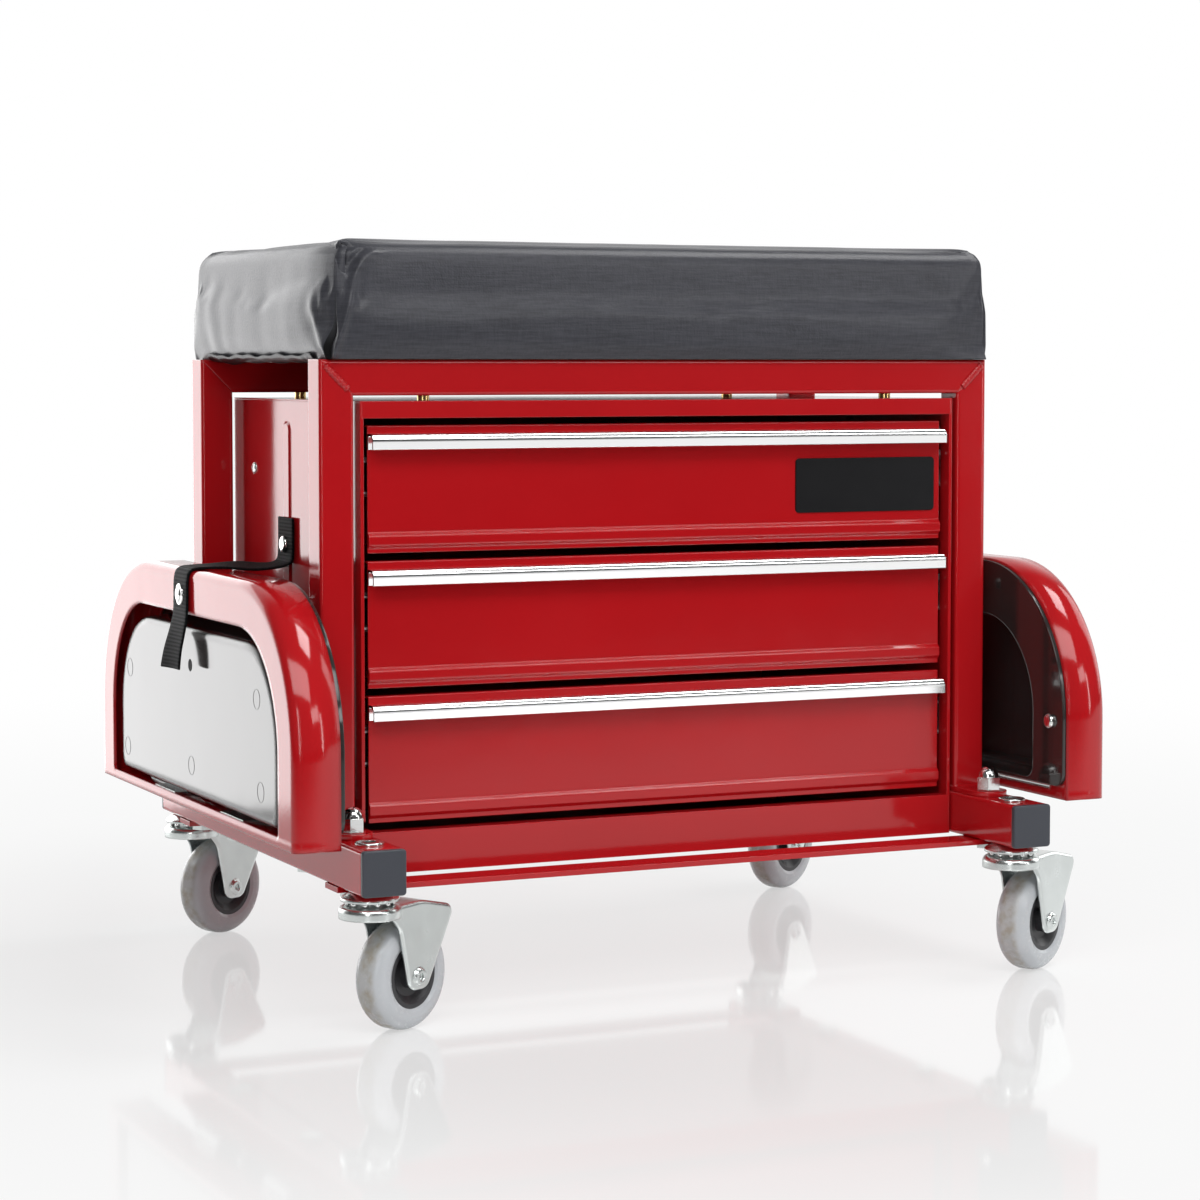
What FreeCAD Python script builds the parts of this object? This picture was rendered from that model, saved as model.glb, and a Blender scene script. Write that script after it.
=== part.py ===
import FreeCAD, Part
import math
import os

# Rolling toolbox stool: a wheeled steel frame that carries a three-drawer chest, a padded seat
# and two folding side trays. Millimetres. Z is up, the drawers open towards -Y, and the origin
# lies on the floor under the middle of the two portals.

os.makedirs("parts", exist_ok=True)
V = FreeCAD.Vector

# Frame tubes
PORTAL_TOP = 364.0
PORTAL_TUBE = 20.0
RAIL_TUBE = 25.0
TUBE_WALL = 1.5
TUBE_CORNER = 2.0
RAIL_AHEAD = 71.0
RAIL_BEHIND = 62.0
PLUG_HEAD = 3.0
PLUG_DEPTH = 12.0
FOOT_PLATE = 3.0
FOOT_RADIUS = 11.0
BAR_WIDTH = 20.0
BAR_THICK = 3.0
BOLT_TO_STEM = 26.0
BOLT_DIAMETER = 8.0
BOLT_FLATS = 13.0
BOLT_HEAD = 3.5
NUT_HEX = 8.0
NUT_DOME_STEP = 0.4
HOLE_CLEARANCE = 0.15
RUNNING_CLEARANCE = 0.08
SLIDE_CLEARANCE = 0.4
OVERCUT = 1.0

# Casters
CASTER_HEIGHT = 79.0
WHEEL_DIAMETER = 60.0
WHEEL_WIDTH = 20.0
HUB_DIAMETER = 36.0
AXLE_DIAMETER = 6.0
CASTER_TRAIL = 25.0
CASTER_HEADING = 28.0
STEM_INSET = 23.0
CUP_RADIUS = 16.0
CUP_DEPTH = 5.0
CUP_SHEET = 1.6
CUP_GAP = 2.5
CUP_FLAT = 10.9
LOWER_CUP_BRIM = 17.0
LOWER_CUP_DEPTH = 7.0
BALL_DIAMETER = 3.2
BALL_RING = 12.5
BALL_COUNT = 12
KINGPIN_DIAMETER = 10.0
KINGPIN_FLANGE = 16.0
KINGPIN_WALL = 1.5
KINGPIN_PEEN = 14.0
FORK_SHEET = 2.0
FORK_SIDE_GAP = 1.5
FORK_REACH = 56.0
FORK_WAIST = 15.0
FORK_CREST = 4.0
FORK_CREST_ROUND = 40.0
FORK_TAIL_DROP = 6.0
FORK_THROAT = 12.0
FORK_BEND = 2.0
FORK_TAIL_ROUND = 5.0
AXLE_HEAD = 9.5
AXLE_HEAD_HEIGHT = 1.8
AXLE_WELL = 4.0
AXLE_WELL_DEPTH = 2.0
HUB_BOSS = 14.0
HUB_DISH = 4.5
HUB_WELL = 23.0
HUB_RIM = 2.5
TYRE_STEP = 1.0

# Chest and drawers
CHEST_GAP = 3.5
CHEST_DROP = 3.0
CHEST_DEPTH = 221.0
CHEST_SETBACK = 11.0
CHEST_SHEET = 1.0
CHEST_HEM = 10.0
CHEST_LIP = 9.5
SIDE_BEAD_WIDTH = 12.5
SIDE_BEAD_RISE = 1.0
SIDE_BEAD_FLANK = 1.5
SIDE_BEAD_SHIFT = 2.4
SIDE_BEAD_INSET = 13.0
PLINTH_HEIGHT = 23.2
DRAWERS = ("drawer_top", "drawer_middle", "drawer_bottom")
DRAWER_GAP = 4.5
DRAWER_TOP_GAP = 4.0
DRAWER_FOOT_GAP = 4.8
DRAWER_SIDE_GAP = 4.0
DRAWER_RECESS = 5.0
DRAWER_SHEET = 1.0
DRAWER_BACK_GAP = 7.0
DRAWER_WALL_DROP = 12.5
DRAWER_LIFT = 3.0
BEAD_PROUD = 2.0
BEAD_LOW = 3.5
BEAD_HEIGHT = 6.8
SLIDE_HEIGHT = 22.0
SLIDE_DEPTH = 9.0
SLIDE_SHEET = 1.2
SLIDE_BELOW_TOP = 28.5
RUNNER_SPACE = 14.5
PULL_DROP = 4.5
PULL_HEIGHT = 8.8
PULL_REACH = 9.0
PULL_SHEET = 1.3
SCREW_DIAMETER = 5.0
SCREW_HEAD = 7.0
SCREW_SPACING = 295.0
SCREW_BITE = 7.0
SCREW_TO_WALL = 0.5

# Seat
SEAT_WIDTH = 424.0
SEAT_OVERHANG = 0.0
SEAT_FRONT = 7.0
SEAT_BACK = 14.0
SEAT_HEIGHT = 65.5
SEAT_CROWN = 3.0
SEAT_DRAW_IN = 3.0
SEAT_CORNER = 9.0
SEAT_EDGE = 6.0
SEAT_FOOT_INSET = 3.0
BOARD_THICK = 9.0
BOARD_INSET = 8.0
SOFT_CLEARANCE = 0.3

# Side trays
TRAY_SPACE = 11.5
TRAY_LIFT = 1.0
TRAY_END_INSET = 1.0
TRAY_HEIGHT = 138.0
TRAY_DEPTH = 26.6
TRAY_ARCH = 90.0
TRAY_FLANGE = 25.0
TRAY_RETURN = 18.0
TRAY_SHEET = 1.5
TRAY_EDGE = 4.0
TRAY_BAR = 3.0
TRAY_LIP = 5.0
INSERT_SHEET = 2.0
INSERT_FLANGE = 33.0
INSERT_DRAFT = 2.5
INSERT_RIM = 2.5
INSERT_RISE = 8.0
INSERT_TRIM = 1.0
INSERT_RECESS = 2.6
HINGE_PIN = 4.0
HINGE_KNUCKLE = 8.0
KNUCKLES = 5
HINGE_LEAF = 1.5
HINGE_LENGTH = 40.0
HINGE_OUT = 6.0
HINGE_TO_POST = 8.0
HINGE_LEAF_REACH = 26.0
TRAY_SCREW_HEAD = 9.0
TRAY_SCREW_IN = 14.0
TRAY_SCREW_UP = 46.0

# Straps
STRAP_WIDTH = 25.0
STRAP_THICK = 1.5
STRAP_Y = 4.0
STRAP_RISE = 28.0
STRAP_TAIL = 58.0
STRAP_CURL = 5.0
STRAP_BEND = 5.0
SNAP_DIAMETER = 12.0
SNAP_HEIGHT = 2.4
SNAP_DROP = 14.0
STUD_HEIGHT = 0.6
STRAP_RIVET = 10.0

# Places that follow from the sizes
portal_half = SEAT_WIDTH / 2 - SEAT_OVERHANG
portal_depth = CHEST_DEPTH + CHEST_SETBACK
portal_y = portal_depth / 2
post_x = portal_half - PORTAL_TUBE / 2
rail_front = portal_y + RAIL_AHEAD
rail_back = portal_y + RAIL_BEHIND
rail_bottom = CASTER_HEIGHT
rail_top = rail_bottom + RAIL_TUBE
rail_outer = post_x + RAIL_TUBE / 2
foot_top = rail_top + FOOT_PLATE
stem_y = {"front": -rail_front + STEM_INSET, "back": rail_back - STEM_INSET}
bolt_y = {"front": stem_y["front"] + BOLT_TO_STEM, "back": stem_y["back"] - BOLT_TO_STEM}
chest_half = portal_half - PORTAL_TUBE - CHEST_GAP
chest_top = PORTAL_TOP - PORTAL_TUBE - CHEST_DROP
chest_bottom = rail_bottom
chest_front = -portal_y
chest_back = chest_front + CHEST_DEPTH
chest_inside = chest_half - CHEST_SHEET
face_y = chest_front + DRAWER_RECESS
face_half = chest_inside - CHEST_SHEET - DRAWER_SIDE_GAP
drawer_half = chest_inside - RUNNER_SPACE
drawer_back = chest_back - CHEST_SHEET - DRAWER_BACK_GAP
first_face_top = chest_top - CHEST_LIP - DRAWER_TOP_GAP
last_face_foot = chest_bottom + PLINTH_HEIGHT + DRAWER_FOOT_GAP
drawer_pitch = (first_face_top - last_face_foot + DRAWER_GAP) / len(DRAWERS)
drawer_face = drawer_pitch - DRAWER_GAP
tray_inner = rail_outer + TRAY_SPACE
tray_outer = tray_inner + TRAY_DEPTH
tray_bottom = rail_top + TRAY_LIFT
tray_top = tray_bottom + TRAY_HEIGHT
tray_front = -rail_front + TRAY_END_INSET
tray_back = rail_back - TRAY_END_INSET
tray_middle = (tray_front + tray_back) / 2
hinge_x = rail_outer + HINGE_OUT
hinge_z = tray_bottom + TRAY_BAR + HINGE_LEAF - HINGE_KNUCKLE / 2
hinge_front = -portal_y + PORTAL_TUBE + HINGE_TO_POST + HINGE_LENGTH / 2
hinge_y = [hinge_front, 2 * tray_middle - hinge_front]
axle_z = WHEEL_DIAMETER / 2
race_z = rail_bottom - CUP_DEPTH - CUP_GAP
SIDES = {"left": -1, "right": 1}


def box(x0, x1, y0, y1, z0, z1):
    return Part.makeBox(x1 - x0, y1 - y0, z1 - z0, V(x0, y0, z0))


def rod(diameter, start, length, direction=V(0, 0, 1)):
    return Part.makeCylinder(diameter / 2, length, start, direction)


def drill(diameter, start, length, direction=V(0, 0, 1)):
    """Clear hole for a fastener, cut a little past both faces."""
    return rod(diameter + 2 * HOLE_CLEARANCE, start - direction * OVERCUT, length + 2 * OVERCUT, direction)


def hexagon(flats, centre, height):
    """Upright hexagonal prism on its centre point."""
    reach = flats / math.sqrt(3)
    turns = [math.radians(60 * k) for k in range(7)]
    corners = [centre + V(reach * math.cos(a), reach * math.sin(a), 0) for a in turns]
    return Part.Face(Part.makePolygon(corners)).extrude(V(0, 0, height))


def rounded(points, radii):
    """Closed wire through the corner points, each corner rounded by its own radius."""
    edges = []
    ends = []
    for i, corner in enumerate(points):
        before = (points[i - 1] - corner).normalize()
        after = (points[(i + 1) % len(points)] - corner).normalize()
        radius = radii[i]
        if radius <= 0:
            ends.append((corner, corner, None))
            continue
        half = before.getAngle(after) / 2
        reach = radius / math.tan(half)
        inward = (before + after).normalize()
        middle = corner + inward * (radius / math.sin(half) - radius)
        ends.append((corner + before * reach, corner + after * reach, middle))
    for i, (start, stop, middle) in enumerate(ends):
        if middle is not None:
            edges.append(Part.Arc(start, middle, stop).toShape())
        following = ends[(i + 1) % len(ends)][0]
        if (following - stop).Length > 1e-6:
            edges.append(Part.LineSegment(stop, following).toShape())
    return Part.Wire(edges)


def slab(points, radii, along):
    """Solid from a rounded outline pushed along a vector."""
    return Part.Face(rounded(points, radii)).extrude(along)


def ribbon(points, radii, thick):
    """Outline of a bent strip in the XZ plane: its middle line offset to both sides."""
    sides = {-1: [], 1: []}
    round_off = {-1: [], 1: []}
    last = len(points) - 1
    up = V(0, 1, 0)
    for i, point in enumerate(points):
        ahead = (points[min(i + 1, last)] - points[min(i, last - 1)]).normalize()
        behind = (points[max(i, 1)] - points[max(i - 1, 0)]).normalize()
        normal = up.cross(behind) + up.cross(ahead)
        normal = normal.normalize() / math.cos(behind.getAngle(ahead) / 2)
        turn = up.dot(behind.cross(ahead))
        for side in sides:
            sides[side].append(point + normal * (side * thick / 2))
            bend = radii[i] - math.copysign(side * thick / 2, turn) if radii[i] else 0
            round_off[side].append(bend)
    outline = sides[1] + sides[-1][::-1]
    return outline, round_off[1] + round_off[-1][::-1]


def lathe(profile, radii):
    """Turned solid about Z from a profile of (radius, height) corners."""
    face = Part.Face(rounded([V(r, 0, z) for r, z in profile], radii))
    return face.revolve(V(0, 0, 0), V(0, 0, 1), 360)


def mirrored(shape):
    return shape.mirror(V(0, 0, 0), V(1, 0, 0))


def on_side(shape, side):
    """A shape made for the right-hand side, on the side asked for."""
    return shape if SIDES[side] > 0 else mirrored(shape)


def save(name, *solids):
    shape = solids[0] if len(solids) == 1 else Part.makeCompound(list(solids))
    shape.exportStep("parts/" + name + ".step")


def section(size, wall):
    """Corners and radii of a square tube's section, taken in by its wall."""
    half = size / 2 - wall
    corners = [(-half, -half), (half, -half), (half, half), (-half, half)]
    return corners, [max(TUBE_CORNER - wall, 0)] * len(corners)


def square_tube(size, place, along):
    """Square tube with rounded corners. place turns a point of the section into a point in space."""
    skins = []
    for wall in (0, TUBE_WALL):
        corners, radii = section(size, wall)
        skins.append(slab([place(a, b) for a, b in corners], radii, along))
    return skins[0].cut(skins[1])


def mitre(above):
    """Wedge above or below the 45 degree plane through the portals' right-hand corner."""
    t = PORTAL_TUBE
    foot = V(portal_half - 2 * t, -portal_y, PORTAL_TOP - 2 * t)
    tip = V(portal_half + t, -portal_y, PORTAL_TOP + t)
    corner = V(foot.x, foot.y, tip.z) if above else V(tip.x, foot.y, foot.z)
    return Part.Face(Part.makePolygon([foot, tip, corner, foot])).extrude(V(0, portal_depth, 0))


def tube_y(end):
    """Middle of a portal's tube."""
    middle = portal_y - PORTAL_TUBE / 2
    return -middle if end == "front" else middle


def base_rail():
    length = rail_front + rail_back - 2 * PLUG_HEAD
    start = -rail_front + PLUG_HEAD
    middle = rail_bottom + RAIL_TUBE / 2
    tube = square_tube(RAIL_TUBE, lambda a, b: V(post_x + a, start, middle + b), V(0, length, 0))
    drills = []
    for end in stem_y:
        drills.append((KINGPIN_DIAMETER, stem_y[end]))
        drills.append((BOLT_DIAMETER, bolt_y[end]))
    for y in hinge_y:
        drills.append((BOLT_DIAMETER, y))
    for diameter, y in drills:
        tube = tube.cut(drill(diameter, V(post_x, y, rail_bottom), RAIL_TUBE))
    return tube


def end_plug(end):
    """Plastic plug: a head flush with the tube and a stub inside it."""
    outward = -1 if end == "front" else 1
    tip = -rail_front if end == "front" else rail_back
    inner = RAIL_TUBE - 2 * TUBE_WALL - 2 * HOLE_CLEARANCE
    low = rail_bottom + TUBE_WALL + HOLE_CLEARANCE
    shoulder = tip - outward * PLUG_HEAD
    nose = tip - outward * (PLUG_HEAD + PLUG_DEPTH)
    corners, radii = section(RAIL_TUBE, 0)
    middle = rail_bottom + RAIL_TUBE / 2
    head = slab([V(post_x + a, shoulder, middle + b) for a, b in corners], radii, V(0, tip - shoulder, 0))
    ring = [e for e in head.Edges if all(abs(v.Y - tip) < 1e-6 for v in e.Vertexes)]
    head = head.makeFillet(PLUG_HEAD / 3, ring)
    stub = box(post_x - inner / 2, post_x + inner / 2, min(nose, shoulder), max(nose, shoulder),
               low, low + inner)
    return head.fuse(stub).removeSplitter()


def post(end):
    """Upright with a mitred top and the foot tab that is bolted to the rail."""
    outward = -1 if end == "front" else 1
    y = tube_y(end)
    rise = V(0, 0, PORTAL_TOP - foot_top)
    tube = square_tube(PORTAL_TUBE, lambda a, b: V(post_x + a, y + b, foot_top), rise).cut(mitre(True))
    heel = outward * (portal_y - PORTAL_TUBE)
    toe = bolt_y[end]
    sole = box(post_x - FOOT_RADIUS, post_x + FOOT_RADIUS, min(heel, toe), max(heel, toe), rail_top, foot_top)
    sole = sole.fuse(rod(2 * FOOT_RADIUS, V(post_x, toe, rail_top), FOOT_PLATE))
    sole = sole.cut(drill(BOLT_DIAMETER, V(post_x, toe, rail_top), FOOT_PLATE))
    return tube.fuse(sole).removeSplitter()


def screw_places():
    """The long screws: their y runs through the tubes of the two top rails."""
    front = tube_y("front")
    back = chest_back - CHEST_SHEET - SCREW_HEAD / 2 - SCREW_TO_WALL
    half = SCREW_SPACING / 2
    return [(x, y) for x in (-half, half) for y in (front, back)]


def drilled(shape, low, high):
    """The shape with a clear hole for each long screw."""
    for x, y in screw_places():
        shape = shape.cut(drill(SCREW_DIAMETER, V(x, y, low), high - low))
    return shape


def top_rail(end):
    """Beam of a portal, mitred at both ends."""
    y = tube_y(end)
    z = PORTAL_TOP - PORTAL_TUBE / 2
    beam = square_tube(PORTAL_TUBE, lambda a, b: V(-portal_half, y + a, z + b), V(2 * portal_half, 0, 0))
    beam = beam.cut(mitre(False)).cut(mirrored(mitre(False)))
    return drilled(beam, PORTAL_TOP - PORTAL_TUBE, PORTAL_TOP)


def cross_bar(end):
    """Flat bar under both rails, clamped by the frame bolts."""
    y = bolt_y[end]
    low = rail_bottom - BAR_THICK
    bar = box(-rail_outer, rail_outer, y - BAR_WIDTH / 2, y + BAR_WIDTH / 2, low, rail_bottom)
    for x in (-post_x, post_x):
        bar = bar.cut(drill(BOLT_DIAMETER, V(x, y, low), BAR_THICK))
    return bar


def bolt(x, y, seat, clamp_top):
    """Hex bolt with its head under the seat, ending inside the acorn nut on the clamp's top."""
    head = hexagon(BOLT_FLATS, V(x, y, seat - BOLT_HEAD), BOLT_HEAD)
    shank = rod(BOLT_DIAMETER, V(x, y, seat), clamp_top + NUT_HEX - seat)
    return head.fuse(shank).removeSplitter()


def acorn_nut(x, y, z):
    """Domed nut, hollow where the bolt ends."""
    body = hexagon(BOLT_FLATS, V(x, y, z), NUT_HEX)
    dome_radius = BOLT_FLATS / 2 - NUT_DOME_STEP
    dome = Part.makeSphere(dome_radius, V(x, y, z + NUT_HEX))
    dome = dome.common(box(x - BOLT_FLATS, x + BOLT_FLATS, y - BOLT_FLATS, y + BOLT_FLATS,
                           z + NUT_HEX - OVERCUT, z + NUT_HEX + BOLT_FLATS))
    body = body.fuse(dome).removeSplitter()
    bore = BOLT_DIAMETER + 2 * HOLE_CLEARANCE
    return body.cut(rod(bore, V(x, y, z - OVERCUT), NUT_HEX + OVERCUT + HOLE_CLEARANCE))


def side_bead(x):
    """Stiffening bead that is pressed out of a side panel, standing on the plane x."""
    middle = STRAP_Y + SIDE_BEAD_SHIFT
    low = chest_bottom + SIDE_BEAD_INSET
    high = chest_top - SIDE_BEAD_INSET

    def outline(inset, at):
        half = SIDE_BEAD_WIDTH / 2 - inset
        ends = [(-half, low + inset), (half, low + inset), (half, high - inset), (-half, high - inset)]
        return rounded([V(at, middle + y, z) for y, z in ends], [SIDE_BEAD_WIDTH / 3] * len(ends))

    return Part.makeLoft([outline(0, x), outline(SIDE_BEAD_FLANK, x + SIDE_BEAD_RISE)], True, True)


def chest_side():
    """Side panel with a hemmed front edge and an upright bead."""
    top = chest_top - CHEST_SHEET
    panel = box(chest_inside, chest_half, chest_front, chest_back, chest_bottom, top)
    hem = box(chest_inside - CHEST_SHEET, chest_inside, chest_front, chest_front + CHEST_HEM,
              chest_bottom + PLINTH_HEIGHT, chest_top - CHEST_LIP)
    panel = panel.fuse(hem).removeSplitter()
    return panel.fuse(side_bead(chest_half)).removeSplitter().cut(side_bead(chest_inside))


def chest_back_panel():
    return box(-chest_inside, chest_inside, chest_back - CHEST_SHEET, chest_back,
               chest_bottom + CHEST_SHEET, chest_top - CHEST_SHEET)


def folded_edge(panel_low, panel_high, lip_low, lip_high, return_low, half):
    """Flat panel with a front lip and a return flange, folded from one sheet."""
    panel = box(-half, half, chest_front, chest_back, panel_low, panel_high)
    lip = box(-half, half, chest_front, chest_front + CHEST_SHEET, lip_low, lip_high)
    fold = box(-half, half, chest_front, chest_front + CHEST_HEM, return_low, return_low + CHEST_SHEET)
    return panel.fuse([lip, fold]).removeSplitter()


def chest_top_panel():
    """Top panel. It lies on the sides, and its front lip hangs between them."""
    panel = box(-chest_half, chest_half, chest_front, chest_back, chest_top - CHEST_SHEET, chest_top)
    low = chest_top - CHEST_LIP
    front = folded_edge(chest_top - CHEST_SHEET, chest_top, low, chest_top, low, chest_inside)
    return drilled(panel.fuse(front).removeSplitter(), chest_top - CHEST_SHEET, chest_top)


def chest_bottom_panel():
    """Bottom panel whose front is folded up as the plinth."""
    top = chest_bottom + PLINTH_HEIGHT
    return folded_edge(chest_bottom, chest_bottom + CHEST_SHEET, chest_bottom, top,
                       top - CHEST_SHEET, chest_inside)


def long_screw(x, y):
    """Screw from under the chest's top, through the top rail, into the seat board."""
    seat = chest_top - CHEST_SHEET
    head = rod(SCREW_HEAD, V(x, y, seat - SCREW_HEAD / 3), SCREW_HEAD / 3)
    shank = rod(SCREW_DIAMETER, V(x, y, seat), PORTAL_TOP + SCREW_BITE - seat)
    spacer = rod(SCREW_HEAD, V(x, y, chest_top), CHEST_DROP)
    return head.fuse([shank, spacer]).removeSplitter()


def face_top(index):
    return first_face_top - index * drawer_pitch


def slide_z(index):
    return face_top(index) - SLIDE_BELOW_TOP


def channel(x_web, x_lip, y0, y1, z, half):
    """C-section along Y with its web at x_web and its flanges reaching to x_lip."""
    web_in = x_web + math.copysign(SLIDE_SHEET, x_lip - x_web)
    whole = box(min(x_web, x_lip), max(x_web, x_lip), y0, y1, z - half, z + half)
    room = box(min(web_in, x_lip), max(web_in, x_lip), y0, y1, z - half + SLIDE_SHEET, z + half - SLIDE_SHEET)
    return whole.cut(room)


def slide(index):
    """Fixed slide on the chest's wall."""
    start = chest_front + CHEST_HEM + SLIDE_SHEET
    return channel(chest_inside, chest_inside - SLIDE_DEPTH, start, drawer_back + SLIDE_SHEET,
                   slide_z(index), SLIDE_HEIGHT / 2)


def runner(index):
    """Runner on the drawer's side, nested in the slide."""
    half = SLIDE_HEIGHT / 2 - SLIDE_SHEET - SLIDE_CLEARANCE
    reach = chest_inside - SLIDE_SHEET - 4 * SLIDE_CLEARANCE
    return channel(drawer_half, reach, face_y + 2 * DRAWER_SHEET, drawer_back, slide_z(index), half)


def drawer(index):
    """Folded drawer: an open box behind a face with a raised strip along its foot."""
    top = face_top(index)
    foot = top - drawer_face
    floor = foot + DRAWER_LIFT
    skin = face_y + DRAWER_SHEET
    wall_top = top - DRAWER_WALL_DROP
    shell = box(-drawer_half, drawer_half, face_y, drawer_back, floor, wall_top)
    room = box(-drawer_half + DRAWER_SHEET, drawer_half - DRAWER_SHEET, skin, drawer_back - DRAWER_SHEET,
               floor + DRAWER_SHEET, wall_top + OVERCUT)
    low = foot + BEAD_LOW
    high = low + BEAD_HEIGHT
    proud = face_y - BEAD_PROUD
    lip = DRAWER_LIFT + 2 * DRAWER_SHEET
    corners = [(skin, foot), (skin, top - DRAWER_SHEET), (skin + lip, top - DRAWER_SHEET), (skin + lip, top),
               (face_y, top), (face_y, high + BEAD_PROUD / 2), (proud, high - BEAD_PROUD / 2),
               (proud, low + BEAD_PROUD / 2), (face_y, low - BEAD_PROUD / 2), (face_y, foot)]
    soft = BEAD_PROUD * 0.45
    radii = [0, 0, 0, 0, DRAWER_SHEET * 0.8, soft, soft, soft, soft, 0]
    face = slab([V(-face_half, y, z) for y, z in corners], radii, V(2 * face_half, 0, 0))
    return shell.cut(room).fuse(face).removeSplitter()


def pull(index):
    """Aluminium strip across the face: a mounting leg, a top and a rolled front lip."""
    top = face_top(index) - PULL_DROP
    low = top - PULL_HEIGHT
    t = PULL_SHEET
    nose = face_y - PULL_REACH
    corners = [(face_y, low), (face_y, top), (nose, top), (nose, low),
               (nose + t, low), (nose + t, top - t), (face_y - t, top - t), (face_y - t, low)]
    bend = PULL_REACH * 0.5
    radii = [0, 0, bend, t * 0.45, t * 0.45, bend - t, t * 0.5, 0]
    return slab([V(-face_half, y, z) for y, z in corners], radii, V(2 * face_half, 0, 0))


def seat_board():
    half = SEAT_WIDTH / 2 - BOARD_INSET
    y0 = -portal_y - SEAT_FRONT + BOARD_INSET
    y1 = portal_y + SEAT_BACK - BOARD_INSET
    return drilled(box(-half, half, y0, y1, PORTAL_TOP, PORTAL_TOP + BOARD_THICK), PORTAL_TOP,
                   PORTAL_TOP + SCREW_BITE)


def drawn_in(half_x, half_y, inset, z):
    """Cushion outline: rounded corners with each side drawn in between them."""
    x = half_x - inset
    y = half_y - inset
    c = SEAT_CORNER
    lean = c * (1 - math.sqrt(0.5))
    corners = [(x, -y, x - c, -y, x, -y + c), (x, y, x, y - c, x - c, y),
               (-x, y, -x + c, y, -x, y - c), (-x, -y, -x, -y + c, -x + c, -y)]
    waists = [V(x - SEAT_DRAW_IN, 0, z), V(0, y - SEAT_DRAW_IN, z),
              V(-x + SEAT_DRAW_IN, 0, z), V(0, -y + SEAT_DRAW_IN, z)]
    edges = []
    for i, (cx, cy, ax, ay, bx, by) in enumerate(corners):
        middle = V(cx - math.copysign(lean, cx), cy - math.copysign(lean, cy), z)
        edges.append(Part.Arc(V(ax, ay, z), middle, V(bx, by, z)).toShape())
        nx, ny = corners[(i + 1) % 4][2:4]
        edges.append(Part.Arc(V(bx, by, z), waists[i], V(nx, ny, z)).toShape())
    return Part.Wire(edges)


def seat_cushion():
    """Crowned cushion with drawn-in sides, over a pocket for its board."""
    half_x = SEAT_WIDTH / 2
    half_y = (portal_depth + SEAT_FRONT + SEAT_BACK) / 2
    middle_y = (SEAT_BACK - SEAT_FRONT) / 2
    low = PORTAL_TOP + SOFT_CLEARANCE
    high = PORTAL_TOP + SEAT_HEIGHT
    levels = [(SEAT_FOOT_INSET, low), (0, low + SEAT_HEIGHT * 0.3), (0, low + SEAT_HEIGHT * 0.6),
              (OVERCUT, high + OVERCUT)]
    block = Part.makeLoft([drawn_in(half_x, half_y, inset, z) for inset, z in levels], True)
    diagonal = half_x ** 2 + half_y ** 2
    dome = (diagonal + SEAT_CROWN ** 2) / (2 * SEAT_CROWN)
    ball = Part.makeSphere(dome, V(0, 0, high - dome))
    block = block.common(ball)
    rim = [e for e in block.Edges if e.BoundBox.ZMin > high - 2 * SEAT_CROWN]
    block = block.makeFillet(SEAT_EDGE, rim)
    block.translate(V(0, middle_y, 0))
    inset = BOARD_INSET - SOFT_CLEARANCE
    front = -portal_y - SEAT_FRONT + inset
    back = portal_y + SEAT_BACK - inset
    pocket = box(-half_x + inset, half_x - inset, front, back,
                 PORTAL_TOP - OVERCUT, PORTAL_TOP + BOARD_THICK + SOFT_CLEARANCE)
    return block.cut(pocket)


def arch(inset, x, low, corner):
    """Outline of a tray at a given inset from its edge: straight foot, two large top corners."""
    y0 = tray_front + inset
    y1 = tray_back - inset
    z1 = tray_top - inset
    points = [V(x, y0, low), V(x, y1, low), V(x, y1, z1), V(x, y0, z1)]
    big = TRAY_ARCH - inset
    return rounded(points, [corner, corner, big, big])


def arch_solid(inset, x0, x1, low, corner):
    return Part.Face(arch(inset, x0, low, corner)).extrude(V(x1 - x0, 0, 0))


def outer_edges(shape, x, above=0):
    """Edges in the plane of the tray's outer face, without those that lie lower than a height."""
    flat = [e for e in shape.Edges if abs(e.BoundBox.XMin - x) < 1e-6 and abs(e.BoundBox.XMax - x) < 1e-6]
    return [e for e in flat if e.BoundBox.ZMax > above]


def tray_frame():
    """Arched steel frame: a C-section round the top and legs, closed by a foot bar with two lips."""
    t = TRAY_SHEET
    floor = tray_bottom + TRAY_BAR
    lip = tray_bottom + TRAY_LIP
    skin = arch_solid(0, tray_inner, tray_outer, tray_bottom, 0)
    skin = skin.makeFillet(TRAY_EDGE, outer_edges(skin, tray_outer, lip))
    room = arch_solid(t, tray_inner + t, tray_outer - t, floor, t)
    room = room.makeFillet(TRAY_EDGE - t, outer_edges(room, tray_outer - t))
    window = arch_solid(TRAY_FLANGE, tray_outer - 2 * t, tray_outer + OVERCUT, lip, 2 * t)
    mouth = arch_solid(TRAY_RETURN, tray_inner - OVERCUT, tray_inner + 2 * t, lip, 2 * t)
    frame = skin.cut(room).cut(window).cut(mouth)
    reach = HINGE_LENGTH / 2 + SLIDE_CLEARANCE
    for y in hinge_y:
        notch = box(tray_inner - OVERCUT, tray_inner + t, y - reach, y + reach, floor, lip + OVERCUT)
        frame = frame.cut(notch)
    for _, y, z in tray_screws():
        frame = frame.cut(rod(SCREW_DIAMETER, V(tray_inner - OVERCUT, y, z), 2 * t + OVERCUT, V(1, 0, 0)))
    return frame


def tray_screws():
    """Flange screws: one on each leg and two along the top of the arch."""
    up = tray_bottom + TRAY_SCREW_UP
    crown = tray_top - TRAY_SCREW_IN
    span = tray_middle - hinge_front
    places = [(tray_front + TRAY_SCREW_IN, up), (tray_back - TRAY_SCREW_IN, up),
              (tray_middle - span, crown), (tray_middle + span, crown)]
    return [(tray_inner - INSERT_RIM, y, z) for y, z in places]


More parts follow.
